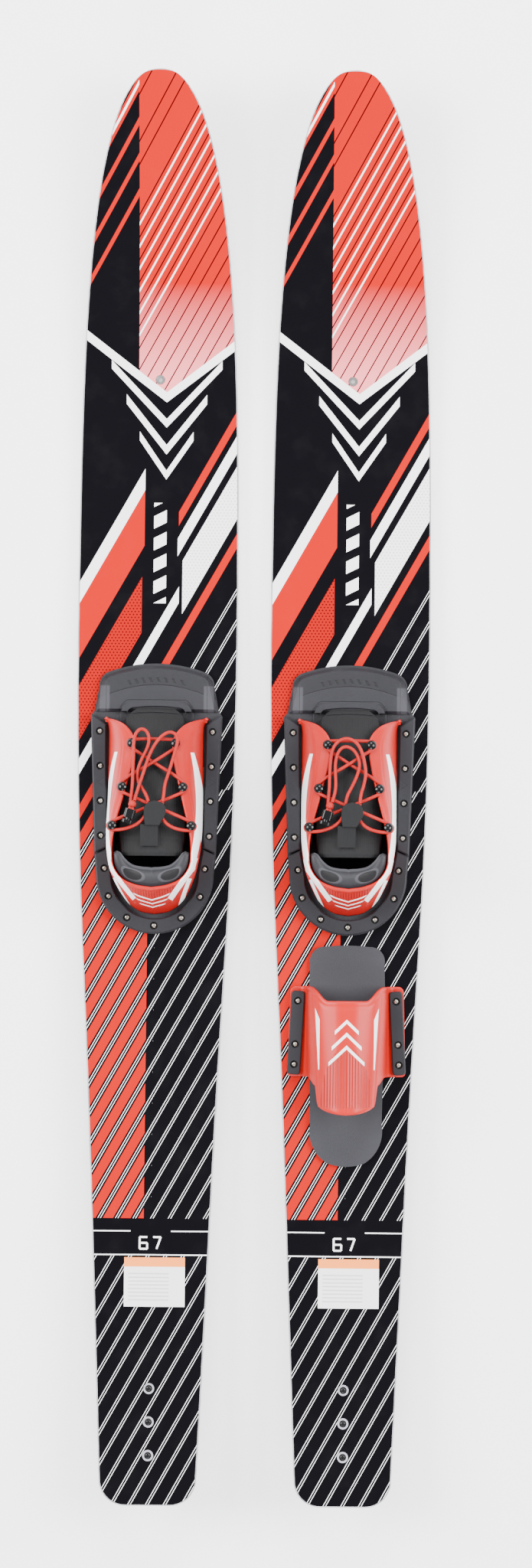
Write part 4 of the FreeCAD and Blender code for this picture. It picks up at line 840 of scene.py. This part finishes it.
def upper_finish(side):
    """Red satin rubber with white flashes along the wings and behind the heel."""
    paint = Paint(side + "_red_rubber", 0.38)
    along, around, inside = (paint.attribute(n) for n in ("along", "around", "inside"))
    flank = abs(along - 0.5) * -1.0 + 0.5
    y = paint.y + PRINT_SHIFT
    middle = paint.x - SIDES[side]
    x = abs(middle)
    grain, wide = paint.noise(1500.0), paint.noise(18.0, 3.0)
    # a bowed stripe runs down each side, then two blades sweep in round the heel
    bow = (y + 27.0) * (y + 27.0) * -0.00186 + 54.2
    half = ((42.0 - y) * 0.04 + 2.0).do("MINIMUM", 3.4)
    stripe = (half - abs(x - bow)).above(0.0, 0.3) * y.within(-82.0, 43.5, 0.5)
    thin = x.above(56.4, 0.3) * y.within(-14.0, 27.0, 0.5)
    blades = (
        ((50.6, -80.0), (46.6, -95.0), 2.7),
        ((48.2, -91.0), (21.0, -129.0), 3.0),
        ((44.5, -104.0), (30.0, -139.0), 1.9),
    )
    fold = (flank - 0.5) * 2.4
    chevrons = (
        abs(around + fold - level).below(0.022, 0.006) * flank.above(start, 0.006)
        for level, start in ((0.62, 0.455), (0.48, 0.462), (0.34, 0.469))
    )
    mark = union([stripe, thin, *(segment(x, y, *blade) for blade in blades), *chevrons])
    mark = mark * inside.below(0.5, 0.1)
    fluted = (around + fold * 0.4).within(0.70, 0.90, 0.01) * flank.above(0.42, 0.004)
    flutes = middle.repeat(FLUTE_PITCH).below(1.2, 0.5) * fluted
    red = paint.mix(wide, (0.36, 0.006, 0.004), (0.46, 0.008, 0.005))
    # painted shade: the flutes' grooves are darkened in the colour, on top of their pressed bump
    red = paint.mix(flutes * 0.7, red, (0.16, 0.002, 0.002))
    paint.set("Base Color", paint.mix(mark, red, (0.90, 0.90, 0.91)))
    paint.set("Roughness", (grain - 0.5) * 0.12 + (wide - 0.5) * 0.10 + 0.36)
    paint.bump(grain * 0.2 - flutes, 0.5, 0.0005)
    return paint.material


def strap_finish():
    """The rear strap's red rubber: two white streaks, three plain chevrons and a fan of flutes, with painted
    shade in their grooves.
    """
    paint = Paint("red_strap_rubber", 0.40)
    x, y = paint.x - SIDES["right"], paint.y + 1.0
    side = abs(x)
    wide, grain = paint.noise(20.0, 3.0), paint.noise(1500.0)
    outer = (y + 256.0) * 0.0602 + 37.5
    blunt = y + 256.0 + (37.4 - side) * 2.4
    streak = side.above(32.0, 0.3) * (outer - side).above(0.0, 0.3)
    streak = streak * blunt.below(0.0, 0.6) * y.above(-327.5, 0.5)
    peak = y + side * 0.95
    chevrons = (
        peak.within(top - 4.5, top, 0.4) * side.below(half, 0.4)
        for top, half in ((-268.0, 14.0), (-283.0, 17.5), (-298.0, 21.0))
    )
    reach = (y - FAN_BACK) / FAN_LONG
    fan = (1.0 - reach * reach).do("MAXIMUM", 0.0).do("SQRT") * FAN_HALF
    outside = paint.attribute("inside").below(0.5, 0.1)
    flutes = x.repeat(STRAP_FLUTE_PITCH).below(1.2, 0.5) * (fan - side).above(0.0, 0.5)
    flutes = flutes * y.within(-371.0, -304.0, 0.5) * outside
    mark = union([streak, *chevrons]) * outside
    red = paint.mix(wide, (0.38, 0.006, 0.004), (0.48, 0.009, 0.005))
    # painted shade: the flutes' grooves are darkened in the colour, on top of their pressed bump
    red = paint.mix(flutes * 0.7, red, (0.16, 0.002, 0.002))
    paint.set("Base Color", paint.mix(mark, red, (0.9, 0.9, 0.91)))
    paint.set("Roughness", (grain - 0.5) * 0.12 + (wide - 0.5) * 0.1 + 0.38)
    paint.bump(grain * 0.2 - flutes, 0.5, 0.0006)
    return paint.material


def ribbed_fabric():
    """Black knitted neoprene: fine ribs along it, a weave across them and a little bloom."""
    paint = Paint("black_neoprene", 0.75)
    rib = (paint.x.repeat(1.2) * 5.236).do("COSINE")
    weave = (paint.y.repeat(0.9) * 6.98).do("COSINE")
    wide, fuzz = paint.noise(25.0, 3.0), paint.noise(2600.0, 3.0)
    bloom = wide * 0.6 + fuzz * 0.4
    paint.set("Base Color", paint.mix(bloom, (0.0018, 0.0018, 0.0022), (0.0070, 0.0074, 0.0085)))
    paint.set("Roughness", (fuzz - 0.5) * 0.2 + 0.72)
    paint.bump(rib * 0.5 + weave * 0.3 + fuzz * 0.4, 0.4, 0.0003)
    return paint.material


def braid():
    """Braided red cord: two crossing sets of strands over its length."""
    paint = Paint("red_braid", 0.55)
    p = (paint.x + paint.y + paint.z * 0.7).repeat(1.5) * 4.19
    q = (paint.x - paint.y + paint.z * 0.7).repeat(1.5) * 4.19
    twist = (p.do("COSINE") * q.do("COSINE"))
    wide = paint.noise(60.0)
    # painted shade and painted highlight: the strands are lighter where the bump raises them and darker
    # between them; the wide noise is random tone
    paint.set("Base Color", paint.mix(twist * 0.3 + wide * 0.7, (0.26, 0.003, 0.003), (0.46, 0.010, 0.006)))
    paint.set("Roughness", (wide - 0.5) * 0.15 + 0.5)
    paint.bump(twist, 0.35, 0.0003)
    return paint.material


def gridded_foam(name, colour, pitch):
    """A foam pad with a fine grid of dimples over a soft grain, with painted shade in the dimples."""
    paint = Paint(name, 0.6)
    cell = (paint.x.repeat(pitch) * (2 * math.pi / pitch)).do("COSINE")
    cell = cell * (paint.y.repeat(pitch) * (2 * math.pi / pitch)).do("COSINE")
    wide, grain = paint.noise(16.0, 3.0), paint.noise(1200.0)
    # painted shade and painted highlight: the cell term darkens the dimples and lightens the raised cells as
    # the bump does; the noise terms are grain and random tone
    share = wide * 0.3 + grain * 0.2 + cell * 0.25 + 0.25
    paint.set("Base Color", paint.mix(share, tuple(c * 0.4 for c in colour), tuple(c * 1.6 for c in colour)))
    paint.set("Roughness", (wide - 0.5) * 0.15 + 0.58)
    paint.bump(cell * 0.5 + grain * 0.6, 0.3, 0.0003)
    return paint.material


def heel_finish():
    """Grey moulded foam with two ovals pressed into it, darkened with painted shade, and painted highlights
    round them and along the top's front lip.
    """
    paint = Paint("heel_grey", 0.5)
    along, around, inside = (paint.attribute(n) for n in ("along", "around", "inside"))
    top = around.above(0.985, 0.02)
    out, up = (abs(along - 0.5) - 0.20) / 0.105, (inside - 0.42) / 0.27
    reach = out * out + up * up
    wide, grain = paint.noise(18.0, 3.0), paint.noise(1300.0)
    grey = paint.mix(wide * 0.6 + grain * 0.4, (0.013, 0.013, 0.016), (0.024, 0.024, 0.028))
    # painted highlight: a lighter ring round each pressed oval on the top face
    grey = paint.mix(reach.within(1.0, 1.7, 0.3) * top * 0.5, grey, (0.06, 0.06, 0.07))
    # painted highlight along the front lip of the top face
    grey = paint.mix(inside.above(0.86, 0.05) * top * 0.6, grey, (0.07, 0.07, 0.08))
    # painted shade: the pressed ovals are darkened almost to black
    grey = paint.mix(reach.below(1.0, 0.15) * top, grey, (0.004, 0.004, 0.005))
    paint.set("Base Color", grey)
    paint.set("Roughness", (wide - 0.5) * 0.16 + 0.48)
    paint.bump(grain * 0.4 + reach.below(1.0, 0.3) * top * -1.0, 0.5, 0.0006)
    return paint.material


def plate_finish(side):
    """Grey plate: lighter raised cheeks beside the toe bumper, and a row of pressed slants along its front
    and pressed outlines, both darkened with painted shade.
    """
    paint = Paint(side + "_plate_grey", 0.5)
    x, y = paint.x - SIDES[side], paint.y + PRINT_SHIFT
    bow = y + x * x * 0.0035
    side = abs(x)
    cheek = side.within(56.0, 68.0, 1.5) * y.within(92.0, 123.0, 2.0)
    dashes = (x + y * 0.5).repeat(9.0).within(2.0, 6.0, 0.5)
    dashes = dashes * bow.within(127.0, 133.0, 0.5) * side.below(36.0, 0.5)
    outline = abs(bow - 124.0).below(0.5, 0.5) * side.below(56.0)
    corner = (side - 33.0).do("MAXIMUM", 0.0)
    panel = abs(y + corner * corner * 0.09 - 106.0).below(0.5, 0.4) * side.below(44.0) * y.above(94.0)
    outline = outline.either(panel).either(abs(side - 44.0).below(0.5, 0.4) * y.within(82.0, 95.0))
    outline = outline.either(abs(side - 60.0).below(0.4, 0.3) * y.above(82.0))
    wide, grain = paint.noise(18.0, 3.0), paint.noise(1500.0, 2.0, (3.0, 0.4, 1.0))
    grey = paint.mix(wide * 0.5 + grain * 0.5, (0.011, 0.011, 0.014), (0.021, 0.021, 0.026))
    grey = paint.mix(bow.above(124.0, 0.5) * 0.5, grey, (0.006, 0.006, 0.008))
    grey = paint.mix(cheek * 0.5, grey, (0.060, 0.060, 0.070))
    # painted shade: the pressed slants and outlines are darkened in the colour, on top of their pressed bump
    grey = paint.mix(dashes.either(outline) * 0.7, grey, (0.003, 0.003, 0.004))
    paint.set("Base Color", grey)
    paint.set("Roughness", (wide - 0.5) * 0.15 + 0.5)
    paint.bump(grain * 0.5 - dashes - outline, 0.5, 0.0005)
    return paint.material


def rail_finish(side):
    """Grey rails: fine grain, and a small pressed arrowhead on each that points outwards, darkened with
    painted shade.
    """
    paint = Paint(side + "_rail_grey", 0.46)
    x, y = abs(paint.x - SIDES[side]), paint.y + PRINT_SHIFT
    arrow = abs(abs(y - 8.0) * 1.6 - (70.0 - x)).below(0.5, 0.4) * x.within(60.5, 70.5, 0.4)
    wide, grain = paint.noise(18.0, 3.0), paint.noise(1500.0)
    grey = paint.mix(wide * 0.5 + grain * 0.5, (0.0095, 0.0095, 0.012), (0.018, 0.018, 0.022))
    # painted shade: the pressed arrowhead is darkened in the colour, on top of its pressed bump
    paint.set("Base Color", paint.mix(arrow * 0.7, grey, (0.006, 0.006, 0.008)))
    paint.set("Roughness", (wide - 0.5) * 0.15 + 0.45)
    paint.bump(grain * 0.5 - arrow, 0.5, 0.0005)
    return paint.material


def rim_finish(name):
    """The pale cap along the ski's edge, with faint layers."""
    paint = Paint(name, 0.35, 0.0, 0.2)
    layers = (paint.z.repeat(2.2) * 2.856).do("COSINE")
    wide = paint.noise(12.0, 3.0)
    paint.set("Base Color", paint.mix(layers * 0.2 + wide * 0.8, (0.30, 0.30, 0.32), (0.62, 0.62, 0.65)))
    paint.set("Roughness", (wide - 0.5) * 0.2 + 0.34)
    paint.bump(wide, 0.1, 0.0003)
    return paint.material


def steel_finish(name, tone, rough):
    """Turned steel: a fine grain, a few darker patches."""
    paint = Paint(name, rough, 1.0)
    wide, fine = paint.noise(150.0, 3.0), paint.noise(4000.0)
    paint.set("Base Color", paint.mix(wide, tuple(c * 0.65 for c in tone), tone))
    paint.set("Roughness", (wide - 0.5) * 0.25 + (fine - 0.5) * 0.1 + rough)
    paint.bump(fine, 0.15, 0.0001)
    return paint.material


FINISH = {
    "core_foam": rim_finish("rim_cap"),
    "base_gloss": mottled("base_black", (0.008, 0.008, 0.009), 0.22, 700.0, 0.06, coat=0.3),
    "steel_eyelet": steel_finish("eyelet_steel", (0.62, 0.60, 0.60), 0.30),
    "fin_plastic": mottled("fin_black", (0.006, 0.006, 0.007), 0.35, 900.0, 0.12),
    "brass_insert": steel_finish("insert_brass", (0.72, 0.53, 0.25), 0.35),
    "clear_washer": mottled("washer_grey", (0.34, 0.34, 0.38), 0.22, 900.0, 0.06, coat=0.4),
    "black_screw": mottled("screw_black", (0.006, 0.0055, 0.0065), 0.35, 1200.0, 0.15),
    "steel_screw": steel_finish("screw_steel", (0.62, 0.57, 0.50), 0.30),
    "grey_eva": gridded_foam("pad_grey", (0.028, 0.028, 0.033), 2.1),
    "black_eva": gridded_foam("footbed_black", (0.004, 0.004, 0.005), 3.2),
    "grey_nylon": mottled("nylon_grey", (0.013, 0.013, 0.016), 0.46, 1500.0, 0.25),
    "black_nylon": mottled("nylon_black", (0.0022, 0.0022, 0.0028), 0.2, 1100.0, 0.05),
    "black_neoprene": ribbed_fabric(),
    "grey_foam": heel_finish(),
    "red_cord": braid(),
}


def dress(thing, material):
    thing.data.materials.clear()
    thing.data.materials.append(material)


record_slots = {part["node"]: part["material_slot"] for part in frame["record"]["subparts"]}
for node, thing in frame["nodes"].items():
    slot = record_slots[node]
    if slot in FINISH:
        dress(thing, FINISH[slot])
for side in SIDES:
    dress(frame["nodes"][side + "_top_sheet"], deck_print(side))
    dress(frame["nodes"][side + "_binding_plate"], plate_finish(side))
    for rail in ("inner_rail", "outer_rail", "heel_frame"):
        dress(frame["nodes"][f"{side}_{rail}"], rail_finish(side))


# ------------------------------------------------------------------ the pieces that stand for CAD nodes

SWEPT, STITCHED = cord_tree(), stitch_tree()
THREAD = mottled("black_thread", (0.010, 0.010, 0.012), 0.5, 2500.0, 0.3)

for side in SIDES:
    body = side + "_ski"
    upper = make_upper(side)
    dress(upper, upper_finish(side))
    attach(upper, body)
    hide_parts(side + "_upper")
    tongue = make_tongue(side)
    dress(tongue, FINISH["black_neoprene"])
    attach(tongue, body)
    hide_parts(side + "_tongue")
    stitches = STITCHED.run(
        line_object(side + "_tongue_stitches", [world(side, point) for point in stitch_line()]),
        stitch_count=34, stitch_length=1.4 * MM, thread=0.4 * MM, material=THREAD,
    )
    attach(stitches, body)
    pad = make_heel_pad(side)
    dress(pad, FINISH["grey_foam"])
    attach(pad, body)
    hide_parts(side + "_heel_pad")
    run = curve_object(side + "_lace_run", side, [LACE_RUN], 0.0)
    held = SWEPT.run(
        line_object(side + "_held_lace", [(0, 0, 0)]),
        path=run, radius=LACE / 2 * MM, sides=14, material=FINISH["red_cord"],
    )
    bpy.data.objects.remove(run)
    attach(held, body)
    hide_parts(side + "_lace")
    for n, route in enumerate(LOOSE_ENDS[side]):
        strand = curve_object(f"{side}_loose_end_{n + 1}", side, [route], LACE)
        dress(strand, FINISH["red_cord"])
        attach(strand, body)
        if n == 0:
            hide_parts(side + "_lace_ends")
        world(side, route[0])

strap = make_rear_strap()
dress(strap, strap_finish())
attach(strap, "right_ski")
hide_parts("right_rear_strap")

# ------------------------------------------------------------------ floor and light

bpy.ops.mesh.primitive_plane_add(size=30)
floor = bpy.context.object
floor.name = "floor"
ground = Paint("pale_floor", 0.6)
ground.set("Base Color", ground.mix(ground.noise(1.2), (0.86, 0.86, 0.87), (0.90, 0.90, 0.91)))
ground.set("Emission Color", (1.0, 1.0, 1.0))
ground.skin.inputs["Emission Strength"].default_value = 1.0
ground.bump(ground.noise(60.0), 0.02, 0.0002)
dress(floor, ground.material)


def lamp(name, place, target, size, power):
    light = bpy.data.lights.new(name, "AREA")
    light.shape, light.size, light.energy = "SQUARE", size, power
    made = bpy.data.objects.new(name, light)
    bpy.context.collection.objects.link(made)
    made.location = place
    made.rotation_euler = (Vector(target) - Vector(place)).to_track_quat("-Z", "Y").to_euler()
    return made


lamps = [
    lamp("soft_left", (-2.8, 0.6, 2.6), (0, 0, 0), 2.2, 330),
    lamp("soft_right", (2.8, 0.4, 2.6), (0, 0, 0), 2.2, 295),
    lamp("front_fill", (0.2, 3.0, 2.2), (0, 0, 0), 2.0, 165),
    lamp("back_fill", (0.0, -3.2, 2.4), (0, 0, 0), 2.0, 140),
]
world_light = bpy.data.worlds.new("studio")
bpy.context.scene.world = world_light
world_light.use_nodes = True
back = world_light.node_tree.nodes["Background"]
back.inputs[0].default_value = (1, 1, 1, 1)
back.inputs[1].default_value = 0.62
